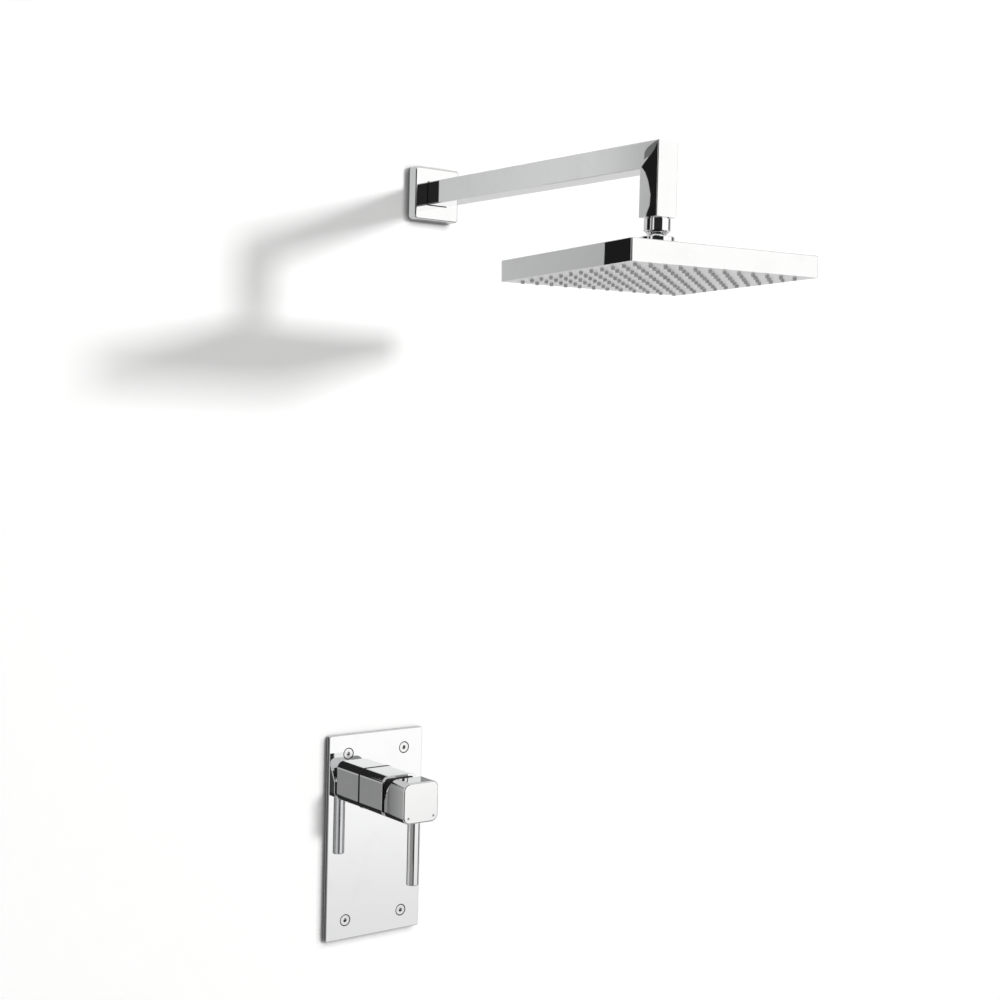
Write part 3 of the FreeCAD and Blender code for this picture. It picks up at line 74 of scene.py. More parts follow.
class Bench:
    """Places and joins nodes in one node tree."""

    def __init__(self, tree: bpy.types.NodeTree) -> None:
        """Start with an empty tree."""
        self.tree = tree
        tree.nodes.clear()

    @classmethod
    def material(cls, name: str) -> tuple[Material, "Bench"]:
        """Start an empty material, and give it with its bench."""
        material = bpy.data.materials.new(name)
        material.use_nodes = True
        return material, cls(material.node_tree)

    def add(self, kind: str, values: dict | None = None, **settings: object) -> Node:
        """Place one node.

        Args:
            kind: Blender's name of the node type.
            values: Input values, by socket name or number.
            **settings: Properties of the node itself.

        Returns:
            The new node.
        """
        node = self.tree.nodes.new(kind)
        for name, value in settings.items():
            setattr(node, name, value)
        for name, value in (values or {}).items():
            node.inputs[name].default_value = value
        return node

    def join(self, source: Socket, target: Socket) -> None:
        """Join an output socket to an input socket."""
        self.tree.links.new(source, target)

    def feed(self, value: Socket | float, target: Socket) -> None:
        """Give an input socket another node's result or a number."""
        if isinstance(value, Socket):
            self.join(value, target)
        else:
            target.default_value = value

    def math(self, operation: str, first: Socket | float, second: Socket | float) -> Socket:
        """Place a math node and give its result."""
        node = self.add("ShaderNodeMath", operation=operation)
        self.feed(first, node.inputs[0])
        self.feed(second, node.inputs[1])
        return node.outputs[0]

    def mix(self, share: Socket, first: Socket | float, second: Socket | float) -> Socket:
        """Mix two levels by the share of the second one."""
        node = self.add("ShaderNodeMix", data_type="FLOAT")
        for number, value in ((0, share), (2, first), (3, second)):
            self.feed(value, node.inputs[number])
        return node.outputs[0]

    def place(self, scale: Triple) -> Socket:
        """Give object coordinates, stretched along X, Y and Z."""
        where = self.add("ShaderNodeTexCoord")
        mapping = self.add("ShaderNodeMapping", {"Scale": scale})
        self.join(where.outputs["Object"], mapping.inputs["Vector"])
        return mapping.outputs["Vector"]

    def noise(self, where: Socket, scale: Socket | float, detail: float) -> Socket:
        """Place a noise texture and give its value; the detail is in octaves."""
        node = self.add("ShaderNodeTexNoise", {"Detail": detail})
        self.join(where, node.inputs["Vector"])
        self.feed(scale, node.inputs["Scale"])
        return node.outputs["Fac"]

    def span(self, value: Socket, low: float, high: float,
             first: float = 0.0, last: float = 1.0) -> Socket:
        """Stretch a value from one range to another, smoothly and held at the ends.

        Args:
            value: The value's socket.
            low: Start of the value's range.
            high: End of the value's range.
            first: Result at the start.
            last: Result at the end.

        Returns:
            The result's socket.
        """
        node = self.add("ShaderNodeMapRange", {1: low, 2: high, 3: first, 4: last},
                        interpolation_type="SMOOTHSTEP")
        self.join(value, node.inputs[0])
        return node.outputs[0]

    def glowing(self, paint: Node, strength: Socket) -> Socket:
        """Add a white glow to a paint.

        Args:
            paint: The paint's shader.
            strength: The glow's strength.

        Returns:
            The socket of both together.
        """
        glow = self.add("ShaderNodeEmission", {"Color": WHITE})
        self.join(strength, glow.inputs["Strength"])
        both = self.add("ShaderNodeAddShader")
        for shader, socket in zip((paint, glow), both.inputs):
            self.join(shader.outputs[0], socket)
        return both.outputs[0]

    def show(self, surface: Socket, kind: str = "ShaderNodeOutputMaterial") -> None:
        """Join a shader to a new output node."""
        self.join(surface, self.add(kind).inputs["Surface"])


@dataclass(frozen=True)
class EffectGroup:
    """A shader node group that several finishes share."""

    name: str
    inputs: dict[str, float]
    outputs: tuple[str, ...]

    def start(self) -> tuple[Bench, Node, Node]:
        """Make the empty group.

        Returns:
            The bench, the group's input node and its output node.
        """
        tree = bpy.data.node_groups.new(self.name, "ShaderNodeTree")
        for name, value in self.inputs.items():
            socket = tree.interface.new_socket(name=name, in_out="INPUT",
                                               socket_type="NodeSocketFloat")
            socket.default_value = value
        for name in self.outputs:
            tree.interface.new_socket(name=name, in_out="OUTPUT", socket_type="NodeSocketFloat")
        bench = Bench(tree)
        return bench, bench.add("NodeGroupInput"), bench.add("NodeGroupOutput")


class Effects:
    """The shared effects: polish, drawn lines and moulded grain."""

    POLISH = EffectGroup(
        "polish", {"Gloss": 0.03, "Haze": 0.03, "Haze Scale": 30.0, "Wave Scale": 14.0},
        ("Roughness", "Height"))
    LINES = EffectGroup(
        "drawn_lines", {"Gloss": 0.3, "Spread": 0.15, "Line Scale": 60.0},
        ("Roughness", "Height"))
    GRAIN = EffectGroup(
        "moulded_grain", {"Gloss": 0.5, "Spread": 0.1, "Grain Scale": 900.0},
        ("Roughness", "Height", "Mottle"))

    EVEN = (1.0, 1.0, 1.0)
    HAIR_STRETCH = (1.0, 1.0, 24.0)
    LINE_STRETCH = (12.0, 12.0, 0.5)
    HAIR_SCALE = 160.0
    MOTTLE_SCALE = 55.0
    CLOUD = (0.45, 0.75)
    HAIRS = (0.62, 0.72)
    MIDDLE = (0.3, 0.7)
    CLOUD_SHARE = 0.7
    HAIR_SHARE = 0.3

    def __init__(self) -> None:
        """Build each group once."""
        self.polish = self._polish()
        self.lines = self._lines()
        self.grain = self._grain()

    @staticmethod
    def _roughen(bench: Bench, given: Node, result: Node, mask: Socket, share: str) -> None:
        """Put out the group's gloss, rougher by a mask times the input named as its share."""
        more = bench.math("MULTIPLY", mask, given.outputs[share])
        rough = bench.math("ADD", given.outputs["Gloss"], more)
        bench.join(rough, result.inputs["Roughness"])

    def _polish(self) -> bpy.types.NodeTree:
        """Buffed metal: a cloudy haze, hairlines and a slow wave of the surface."""
        bench, given, result = self.POLISH.start()
        where = bench.place(self.EVEN)
        cloud = bench.span(bench.noise(where, given.outputs["Haze Scale"], detail=4.0),
                           *self.CLOUD)
        hairs = bench.span(bench.noise(bench.place(self.HAIR_STRETCH), self.HAIR_SCALE, detail=2.0),
                           *self.HAIRS)
        haze = bench.math("ADD", bench.math("MULTIPLY", cloud, self.CLOUD_SHARE),
                          bench.math("MULTIPLY", hairs, self.HAIR_SHARE))
        self._roughen(bench, given, result, haze, "Haze")
        wave = bench.noise(where, given.outputs["Wave Scale"], detail=1.0)
        bench.join(wave, result.inputs["Height"])
        return bench.tree

    def _lines(self) -> bpy.types.NodeTree:
        """Drawn or brushed metal: fine lines along Z with uneven gloss."""
        bench, given, result = self.LINES.start()
        where = bench.place(self.LINE_STRETCH)
        lines = bench.noise(where, given.outputs["Line Scale"], detail=6.0)
        self._roughen(bench, given, result, bench.span(lines, *self.MIDDLE), "Spread")
        bench.join(lines, result.inputs["Height"])
        return bench.tree

    def _grain(self) -> bpy.types.NodeTree:
        """Moulded or cast surface: fine pimples and slow colour mottling."""
        bench, given, result = self.GRAIN.start()
        where = bench.place(self.EVEN)
        pimples = bench.noise(where, given.outputs["Grain Scale"], detail=3.0)
        mottle = bench.span(bench.noise(where, self.MOTTLE_SCALE, detail=5.0), *self.MIDDLE)
        self._roughen(bench, given, result, bench.math("ADD", pimples, mottle), "Spread")
        bench.join(pimples, result.inputs["Height"])
        bench.join(mottle, result.inputs["Mottle"])
        return bench.tree


@dataclass(frozen=True)
class Finish:
    """A surface finish: its name, colour and gloss."""

    name: str
    colour: Colour
    gloss: float

    def build(self, effects: Effects) -> Material:
        """Make the material.

        Args:
            effects: The shared effects.

        Returns:
            The material.
        """
        material, bench = Bench.material(self.name)
        material.diffuse_color = (*self.colour, 1.0)
        shader = bench.add("ShaderNodeBsdfPrincipled",
                           {"Base Color": (*self.colour, 1.0), "Roughness": self.gloss})
        bench.show(shader.outputs["BSDF"])
        self.surface(bench, shader, effects)
        return material

    def surface(self, bench: Bench, shader: Node, effects: Effects) -> None:
        """Put the finish's own effects on the shader; a plain finish has none."""

    @staticmethod
    def raise_surface(bench: Bench, shader: Node, height: Socket,
                      strength: float, depth: float) -> None:
        """Turn a height into the shader's normal; the depth is in metres."""
        bump = bench.add("ShaderNodeBump", {"Strength": strength, "Distance": depth})
        bench.join(height, bump.inputs["Height"])
        bench.join(bump.outputs["Normal"], shader.inputs["Normal"])

    @staticmethod
    def tint(bench: Bench, shader: Node, mask: Socket, low: Colour, high: Colour) -> None:
        """Colour the surface from a low tint to a high one, by a mask."""
        mix = bench.add("ShaderNodeMix", {6: (*low, 1.0), 7: (*high, 1.0)}, data_type="RGBA")
        bench.join(mask, mix.inputs[0])
        bench.join(mix.outputs[2], shader.inputs["Base Color"])


@dataclass(frozen=True)
class MirrorFinish(Finish):
    """Bright plated or polished metal."""

    haze: float = 0.03
    haze_scale: float = 30.0
    haze_tone: float = 0.96
    wave_scale: float = 14.0
    wave_depth: float = 0.0

    def surface(self, bench: Bench, shader: Node, effects: Effects) -> None:
        """Polish the metal, a little darker in the haze, and wave it where it has a wave."""
        shader.inputs["Metallic"].default_value = 1.0
        polish = bench.add("ShaderNodeGroup", {
            "Gloss": self.gloss, "Haze": self.haze, "Haze Scale": self.haze_scale,
            "Wave Scale": self.wave_scale}, node_tree=effects.polish)
        rough = polish.outputs["Roughness"]
        bench.join(rough, shader.inputs["Roughness"])
        shade = tuple(channel * self.haze_tone for channel in self.colour)
        hazy = bench.span(rough, self.gloss, self.gloss + self.haze)
        self.tint(bench, shader, hazy, self.colour, shade)
        if self.wave_depth:
            self.raise_surface(bench, shader, polish.outputs["Height"], 1.0, self.wave_depth)


@dataclass(frozen=True)
class DrawnFinish(Finish):
    """Drawn, turned or brushed metal with fine lines."""

    shade: Colour = (0.5, 0.5, 0.5)
    spread: float = 0.15
    line_scale: float = 60.0
    strength: float = 0.4
    depth: float = 0.00002

    def surface(self, bench: Bench, shader: Node, effects: Effects) -> None:
        """Draw lines along the metal and mottle its colour."""
        shader.inputs["Metallic"].default_value = 1.0
        lines = bench.add("ShaderNodeGroup", {
            "Gloss": self.gloss, "Spread": self.spread, "Line Scale": self.line_scale},
            node_tree=effects.lines)
        grain = bench.add("ShaderNodeGroup", {"Gloss": self.gloss}, node_tree=effects.grain)
        bench.join(lines.outputs["Roughness"], shader.inputs["Roughness"])
        self.tint(bench, shader, grain.outputs["Mottle"], self.colour, self.shade)
        self.raise_surface(bench, shader, lines.outputs["Height"], self.strength, self.depth)


@dataclass(frozen=True)
class MouldedFinish(Finish):
    """Moulded plastic, rubber or ceramic, or cast metal."""

    shade: Colour = (0.5, 0.5, 0.5)
    metal: float = 0.0
    spread: float = 0.1
    grain_scale: float = 900.0
    strength: float = 0.5
    depth: float = 0.00003

    def surface(self, bench: Bench, shader: Node, effects: Effects) -> None:
        """Grain the surface and mottle its colour."""
        shader.inputs["Metallic"].default_value = self.metal
        grain = bench.add("ShaderNodeGroup", {
            "Gloss": self.gloss, "Spread": self.spread, "Grain Scale": self.grain_scale},
            node_tree=effects.grain)
        bench.join(grain.outputs["Roughness"], shader.inputs["Roughness"])
        self.tint(bench, shader, grain.outputs["Mottle"], self.colour, self.shade)
        self.raise_surface(bench, shader, grain.outputs["Height"], self.strength, self.depth)


class FinishRack:
    """All finishes of the mixer, each built once."""

    CHROME = (0.90, 0.905, 0.91)
    FINISHES = (
        MirrorFinish("plate_mirror", (0.89, 0.90, 0.91), 0.02, haze=0.02),
        MirrorFinish("body_chrome", CHROME, 0.015, haze=0.02),
        MirrorFinish("handle_chrome", (0.865, 0.87, 0.875), 0.015, haze=0.02),
        MirrorFinish("arm_chrome", CHROME, 0.01, haze=0.012, wave_scale=11.0, wave_depth=0.0002),
        MirrorFinish("head_chrome", CHROME, 0.01, haze=0.012, wave_scale=9.0, wave_depth=0.0001),
        MirrorFinish("spray_steel", (0.94, 0.94, 0.945), 0.30, haze=0.08),
        MirrorFinish("screw_bright", (0.84, 0.845, 0.85), 0.06, haze=0.05),
        DrawnFinish("satin_steel", (0.60, 0.61, 0.62), 0.28, shade=(0.52, 0.53, 0.54)),
        DrawnFinish("drawn_copper", (0.72, 0.38, 0.24), 0.25, shade=(0.56, 0.27, 0.17)),
        DrawnFinish("turned_brass", (0.74, 0.57, 0.27), 0.24, shade=(0.62, 0.46, 0.21)),
        MouldedFinish("cast_brass", (0.66, 0.50, 0.24), 0.38, shade=(0.53, 0.39, 0.18), metal=1.0,
                      spread=0.12, grain_scale=700.0, depth=0.00012),
        MouldedFinish("zinc_coat", (0.56, 0.58, 0.60), 0.36, shade=(0.68, 0.69, 0.70), metal=1.0,
                      spread=0.12, grain_scale=260.0, depth=0.00002),
        MouldedFinish("moulded_plastic", (0.80, 0.80, 0.78), 0.42, shade=(0.76, 0.76, 0.74)),
        MouldedFinish("lapped_ceramic", (0.86, 0.85, 0.80), 0.12, shade=(0.82, 0.81, 0.77),
                      spread=0.03),
        MouldedFinish("soft_nozzle", (0.55, 0.555, 0.56), 0.5, shade=(0.60, 0.605, 0.61)),
        MouldedFinish("black_rubber", (0.018, 0.018, 0.018), 0.62, shade=(0.03, 0.03, 0.03)),
        MouldedFinish("grey_mark", (0.27, 0.275, 0.28), 0.45, shade=(0.32, 0.325, 0.33)),
    )

    def __init__(self) -> None:
        """Build the shared effects and every material."""
        effects = Effects()
        self.materials = {finish.name: finish.build(effects) for finish in self.FINISHES}

    def dress(self, piece: Piece, finish: str) -> None:
        """Give a piece one finish, by its name."""
        piece.data.materials.clear()
        piece.data.materials.append(self.materials[finish])
        LOG.info("%s: %s", piece.name, finish)


def clear() -> None:
    """Go to object mode and deselect everything."""
    if bpy.context.object and bpy.context.object.mode != "OBJECT":
        bpy.ops.object.mode_set(mode="OBJECT")
    bpy.ops.object.select_all(action="DESELECT")


def enter() -> None:
    """Settle the piece's place in its mesh, and go to edit mode with all of it selected."""
    bpy.ops.object.transform_apply(location=True, rotation=True, scale=True)
    bpy.ops.object.mode_set(mode="EDIT")
    bpy.ops.mesh.select_all(action="SELECT")


def leave() -> Piece:
    """Go back to object mode and give the piece that was shaped."""
    bpy.ops.object.mode_set(mode="OBJECT")
    return bpy.context.object


def face_out() -> None:
    """Turn every face of the piece in edit mode outwards."""
    bpy.ops.mesh.select_all(action="SELECT")
    bpy.ops.mesh.normals_make_consistent(inside=False)


def modify(piece: Piece, kind: str, **settings: object) -> None:
    """Add a modifier to the active piece, with its settings, and apply it."""
    modifier = piece.modifiers.new(kind.lower(), kind)
    for name, value in settings.items():
        setattr(modifier, name, value)
    bpy.ops.object.modifier_apply(modifier=modifier.name)


def soften(piece: Piece, width: float, segments: int) -> None:
    """Round the active piece's sharp edges."""
    modify(piece, "BEVEL", width=width, segments=segments, limit_method="ANGLE",
           angle_limit=BEVEL_ANGLE)


def rounded_square(side: float, corner: float, middle: Vector) -> None:
    """Start an upright sheet, a square with rounded corners, and stay in edit mode.

    Args:
        side: The square's side.
        corner: Radius of its corners.
        middle: The sheet's middle.
    """
    clear()
    bpy.ops.mesh.primitive_plane_add(size=side, rotation=UPRIGHT, location=middle)
    enter()
    bpy.ops.mesh.bevel(offset=corner, segments=CORNER_STEPS, affect="VERTICES")


def holed_square(side: float, corner: float, hole: float, middle: Vector) -> None:
    """Start an upright sheet, a rounded square bridged to a round hole, and stay in edit mode.

    Args:
        side: The square's side.
        corner: Radius of its corners.
        hole: Radius of the hole.
        middle: The sheet's middle.
    """
    rounded_square(side, corner, middle)
    bpy.ops.mesh.delete(type="ONLY_FACE")
    bpy.ops.mesh.primitive_circle_add(vertices=HOLE_STEPS, radius=hole, rotation=UPRIGHT,
                                      location=middle)
    bpy.ops.mesh.select_all(action="SELECT")
    bpy.ops.mesh.bridge_edge_loops()


def copy_to(piece: Piece, shift: Vector) -> Piece:
    """Copy a piece with a mesh of its own, and move the copy by a shift."""
    clear()
    piece.select_set(True)
    bpy.context.view_layer.objects.active = piece
    bpy.ops.object.duplicate(linked=False)
    bpy.ops.transform.translate(value=shift)
    bpy.ops.object.transform_apply(location=True, rotation=True, scale=True)
    return bpy.context.object


def fit(piece: Piece, name: str, body: str) -> Piece:
    """Name a piece, smooth it and fix it to its body.

    Args:
        piece: The active piece.
        name: Its name.
        body: The body that it moves with.

    Returns:
        The piece.
    """
    bpy.ops.object.shade_smooth_by_angle(angle=SMOOTH_ANGLE)
    piece.name = name
    piece.data.name = name
    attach(piece, body)
    return piece


@dataclass
class SubAssembly:
    """A group of CAD nodes with the finish that each one gets."""

    finishes: dict[str, str] = field(default_factory=dict)

    def dress(self, rack: FinishRack) -> None:
        """Give every node its finish."""
        for node, finish in self.finishes.items():
            rack.dress(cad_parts[node], finish)

    def build(self, rack: FinishRack) -> None:
        """Add the group's own pieces, where it has any."""


@dataclass
class TrimAndHandle(SubAssembly):
    """Trim plate, square body and handle."""

    finishes: dict[str, str] = field(default_factory=lambda: {
        "trim_plate": "plate_mirror", "plate_screws": "screw_bright",
        "plate_seal": "black_rubber", "body_sleeve": "body_chrome",
        "sleeve_o_ring": "black_rubber", "cartridge_dome": "body_chrome",
        "handle_knob": "handle_chrome", "handle_cap": "handle_chrome",
        "index_dots": "grey_mark", "handle_lever": "handle_chrome",
        "handle_set_screw": "satin_steel"})
    body: str = "fixed_set"
    handle: str = "handle"
    head_radius: float = 5.2 * MM
    groove_depth: float = 1.0 * MM
    seal_radius: float = 5.75 * MM
    seal_wire: float = 0.52 * MM
    seal_back: float = 0.4  # flat back behind the groove's middle, as a share of its depth
    seal_segments: int = 56
    seal_wire_segments: int = 12
    lip_width: float = 0.3 * MM
    lip_height: float = 1.1 * MM
    lip_room: float = 0.03 * MM
    lip_edge: float = 0.1 * MM
    body_corner: float = 7.5 * MM
    sleeve_wall: float = 2.5 * MM
    dome_radius: float = 18.0 * MM
    dome_wall: float = 1.2 * MM
    dome_mouth: float = 13.5 * MM
    dome_skirt: float = 9.0 * MM
    dome_edge: float = 0.35 * MM
    dome_segments: int = 96
    dome_rings: int = 63
    dust_room: float = 0.05 * MM
    dust_set: float = 0.9 * MM
    dust_width: float = 1.0 * MM
    dust_hole: float = 16.8 * MM
    knob_wall: float = 3.0 * MM
    pocket_depth: float = 7.5 * MM
    pocket_slant: float = math.radians(28.0)
    slant_drop: float = 2.0 * MM
    liner_wall: float = 0.5 * MM
    liner_mouth: float = 9.0 * MM
    liner_short: float = 0.2 * MM  # how far the liner stays inside the pocket's rear
    rim_share: float = 0.8  # share of the liner's half side that its hole stays within

    def build(self, rack: FinishRack) -> None:
        """Make the dome and the rubber pieces: screw rings, sleeve lip, dust ring, and a knob liner
        whose black is painted shade for the knob's pocket.

        Args:
            rack: The finishes.
        """
        rack.dress(self.dome(), "body_chrome")
        rubber = (*self.screw_seals(), self.sleeve_lip(), self.dust_ring(), self.knob_liner())
        for piece in rubber:
            rack.dress(piece, "black_rubber")

    def dome(self) -> Piece:
        """Turn the dome from a sphere: cut at mouth and middle, drawn into a skirt, thickened.

        Returns:
            The dome.
        """
        low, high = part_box("cartridge_dome")
        pin = (low + high) / 2
        pin.y = high.y - self.dome_skirt
        rise = math.sqrt(self.dome_radius ** 2 - self.dome_mouth ** 2)
        clear()
        bpy.ops.mesh.primitive_uv_sphere_add(
            segments=self.dome_segments, ring_count=self.dome_rings, radius=self.dome_radius,
            location=pin, rotation=UPRIGHT)
        enter()
        bpy.ops.mesh.bisect(plane_co=pin - Vector((0.0, rise, 0.0)), plane_no=(0.0, -1.0, 0.0),
                            clear_outer=True)
        bpy.ops.mesh.select_all(action="SELECT")
        bpy.ops.mesh.bisect(plane_co=pin, plane_no=(0.0, 1.0, 0.0), clear_outer=True)
        bpy.ops.mesh.extrude_region_move(
            TRANSFORM_OT_translate={"value": (0.0, self.dome_skirt, 0.0)})
        piece = leave()
        modify(piece, "SOLIDIFY", thickness=self.dome_wall, offset=-1.0)
        soften(piece, self.dome_edge, segments=3)
        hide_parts("cartridge_dome")
        return fit(piece, "dome_cover", self.body)

    def dust_ring(self) -> Piece:
        """Model the ring that closes the sleeve's mouth round the dome.

        Returns:
            The ring.
        """
        low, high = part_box("body_sleeve")
        middle = (low + high) / 2
        middle.y = low.y + self.dust_set
        inset = self.sleeve_wall + self.dust_room
        side = high.x - low.x - 2 * inset
        holed_square(side, self.body_corner - inset, self.dust_hole, middle)
        piece = leave()
        modify(piece, "SOLIDIFY", thickness=self.dust_width, offset=0.0)
        enter()
        face_out()
        return fit(leave(), "dust_ring", self.body)

    def knob_liner(self) -> Piece:
        """Line the knob's rear pocket with black rubber, painted shade for its inside: a holed
        floor, drawn up into walls and cut on the slant.

        Returns:
            The liner.
        """
        low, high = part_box("handle_knob")
        middle = (low + high) / 2
        web = Vector((middle.x, high.y - self.pocket_depth + self.dust_room, middle.z))
        side = high.x - low.x - 2 * (self.knob_wall + self.dust_room)
        holed_square(side, self.body_corner - self.knob_wall, self.liner_mouth, web)
        self.select_rim(web, side / 2)
        bpy.ops.mesh.extrude_region_move(TRANSFORM_OT_translate={
            "value": (0.0, self.pocket_depth - self.liner_short, 0.0)})
        face_out()
        piece = leave()
        modify(piece, "SOLIDIFY", thickness=self.liner_wall, offset=-1.0)
        enter()
        lean = Vector((0.0, math.cos(self.pocket_slant), math.sin(self.pocket_slant)))
        bend = Vector((middle.x, high.y, middle.z - self.slant_drop)) - lean * self.liner_short
        bpy.ops.mesh.bisect(plane_co=bend, plane_no=lean, clear_outer=True, use_fill=True)
        return fit(leave(), "knob_liner", self.handle)

    def select_rim(self, middle: Vector, reach: float) -> None:
        """Select the edges of a flat ring that lie outside its hole.

        Args:
            middle: The ring's middle.
            reach: Half the ring's side.
        """
        bpy.ops.mesh.select_mode(type="EDGE")
        bpy.ops.mesh.select_all(action="DESELECT")
        bpy.ops.mesh.select_non_manifold()
        mesh = leave().data
        for edge in mesh.edges:
            ends = [mesh.vertices[number].co - middle for number in edge.vertices]
            mid = (ends[0] + ends[1]) / 2
            outside = max(abs(mid.x), abs(mid.z)) > self.rim_share * reach
            edge.select = edge.select and outside
        bpy.ops.object.mode_set(mode="EDIT")

    def screw_seals(self) -> list[Piece]:
        """Model one flat-backed ring in a screw's groove and copy it to the other three.

        Returns:
            The four rings.
        """
        low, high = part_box("plate_screws")
        left, right = low.x + self.head_radius, high.x - self.head_radius
        foot, top = low.z + self.head_radius, high.z - self.head_radius
        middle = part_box("trim_plate")[0].y + self.groove_depth / 2
        clear()
        bpy.ops.mesh.primitive_torus_add(
            major_radius=self.seal_radius, minor_radius=self.seal_wire,
            major_segments=self.seal_segments, minor_segments=self.seal_wire_segments,
            location=(left, middle, foot), rotation=UPRIGHT)
        enter()
        back = middle + self.seal_back * self.groove_depth
        bpy.ops.mesh.bisect(plane_co=(left, back, foot), plane_no=(0.0, 1.0, 0.0),
                            clear_outer=True, use_fill=True)
        first = fit(leave(), "screw_seal_1", self.body)
        rings = [first]
        for number, (x, z) in enumerate(((right, foot), (left, top), (right, top)), start=2):
            ring = copy_to(first, Vector((x - left, 0.0, z - foot)))
            rings.append(fit(ring, f"screw_seal_{number}", self.body))
        return rings

    def sleeve_lip(self) -> Piece:
        """Model the lip round the sleeve's foot: a rounded square, inset, thickened, softened.

        Returns:
            The lip.
        """
        low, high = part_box("body_sleeve")
        middle = (low + high) / 2
        middle.y = high.y - self.lip_room
        edge = self.lip_room + self.lip_width
        rounded_square(high.x - low.x + 2 * edge, self.body_corner + edge, middle)
        bpy.ops.mesh.inset(thickness=self.lip_width)
        bpy.ops.mesh.delete(type="FACE")
        piece = leave()
        modify(piece, "SOLIDIFY", thickness=self.lip_height, offset=1.0)
        soften(piece, self.lip_edge, segments=2)
        return fit(piece, "sleeve_lip", self.body)


@dataclass
class Cartridge(SubAssembly):
    """Cartridge inside the body."""

    finishes: dict[str, str] = field(default_factory=lambda: {
        "cartridge_nut": "turned_brass", "cartridge_housing": "moulded_plastic",
        "cartridge_base": "moulded_plastic", "base_seals": "black_rubber",
        "fixed_disc": "lapped_ceramic", "moving_disc": "lapped_ceramic",
        "disc_carrier": "moulded_plastic", "cartridge_turret": "moulded_plastic",
        "turret_pin": "satin_steel", "cartridge_stem": "satin_steel"})


@dataclass
class WallPieces(SubAssembly):
    """Valve body, bracket and riser in the wall."""

    finishes: dict[str, str] = field(default_factory=lambda: {
        "valve_body": "cast_brass", "mounting_bracket": "zinc_coat",
        "bracket_posts": "zinc_coat", "valve_bolts": "satin_steel",
        "lower_pipe_adaptor": "turned_brass", "upper_pipe_adaptor": "turned_brass",
        "compression_nuts": "turned_brass", "compression_olives": "drawn_copper",
        "riser_pipe": "drawn_copper", "wall_elbow": "cast_brass"})
    body: str = "fixed_set"
    inlet_depth: float = 41.0 * MM
    inlet_height: float = 49.0 * MM
    inlet_bore: float = 9.95 * MM
    thread_height: float = 0.6 * MM
    thread_sunk: float = 0.05 * MM
    thread_pitch: float = 1.814 * MM
    thread_stretch: float = 2.0  # width of the ridge against an even triangle
    thread_turns: int = 6
    thread_steps: int = 40
    thread_set: float = 2.6 * MM

    def build(self, rack: FinishRack) -> None:
        """Wind the threads of the two inlets."""
        for piece in self.inlet_threads():
            rack.dress(piece, "turned_brass")

    def inlet_threads(self) -> list[Piece]:
        """Wind one thread ridge from a triangle inside the right inlet and copy it to the left one.

        Returns:
            The two threads.
        """
        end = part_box("valve_body")[1].x - self.thread_set
        length = self.thread_pitch * self.thread_turns
        size = self.thread_height / 1.5  # an even triangle is 1.5 times its radius high
        clear()
        bpy.ops.mesh.primitive_circle_add(
            vertices=3, radius=size, location=(end - length, self.inlet_depth, self.inlet_height))
        bpy.ops.object.mode_set(mode="EDIT")
        bpy.ops.mesh.select_all(action="SELECT")
        bpy.ops.transform.resize(value=(self.thread_stretch, 1.0, 1.0))
        bpy.ops.transform.translate(
            value=(0.0, size / 2 - self.inlet_bore - self.thread_sunk, 0.0))
        piece = leave()
        modify(piece, "SCREW", axis="X", screw_offset=self.thread_pitch,
               iterations=self.thread_turns, steps=self.thread_steps,
               render_steps=self.thread_steps)
        enter()
        bpy.ops.mesh.fill_holes(sides=3)
        face_out()
        first = fit(leave(), "inlet_thread_1", self.body)
        second = copy_to(first, Vector((length - 2 * end, 0.0, 0.0)))
        return [first, fit(second, "inlet_thread_2", self.body)]


@dataclass
class WallArm(SubAssembly):
    """Square arm with its rosette and swivel nut."""

    finishes: dict[str, str] = field(default_factory=lambda: {
        "arm_wall_spigot": "turned_brass", "arm_tube": "arm_chrome", "arm_drop": "arm_chrome",
        "arm_outlet_spigot": "arm_chrome", "arm_escutcheon": "body_chrome",
        "escutcheon_seal": "black_rubber", "flow_limiter": "moulded_plastic",
        "filter_washer": "black_rubber", "swivel_nut": "body_chrome"})


@dataclass
class RainHead(SubAssembly):
    """Tilting rain head on its ball."""

    finishes: dict[str, str] = field(default_factory=lambda: {
        "swivel_tail": "body_chrome", "tail_clip": "satin_steel", "ball_ring": "body_chrome",
        "ball_seal": "moulded_plastic", "head_shell": "head_chrome",
        "spray_plate": "spray_steel", "nozzle_mat": "soft_nozzle",
        "head_gasket": "black_rubber"})


def hang(name: str, data: bpy.types.ID) -> Piece:
    """Put a mesh, light or camera into the scene as a new object."""
    item = bpy.data.objects.new(name, data)
    bpy.context.scene.collection.objects.link(item)
    return item


def oblong(left: float, right: float, low: float, high: float) -> Outline:
    """Give the corners of an oblong, from its lower left one round."""
    return (left, low), (right, low), (right, high), (left, high)


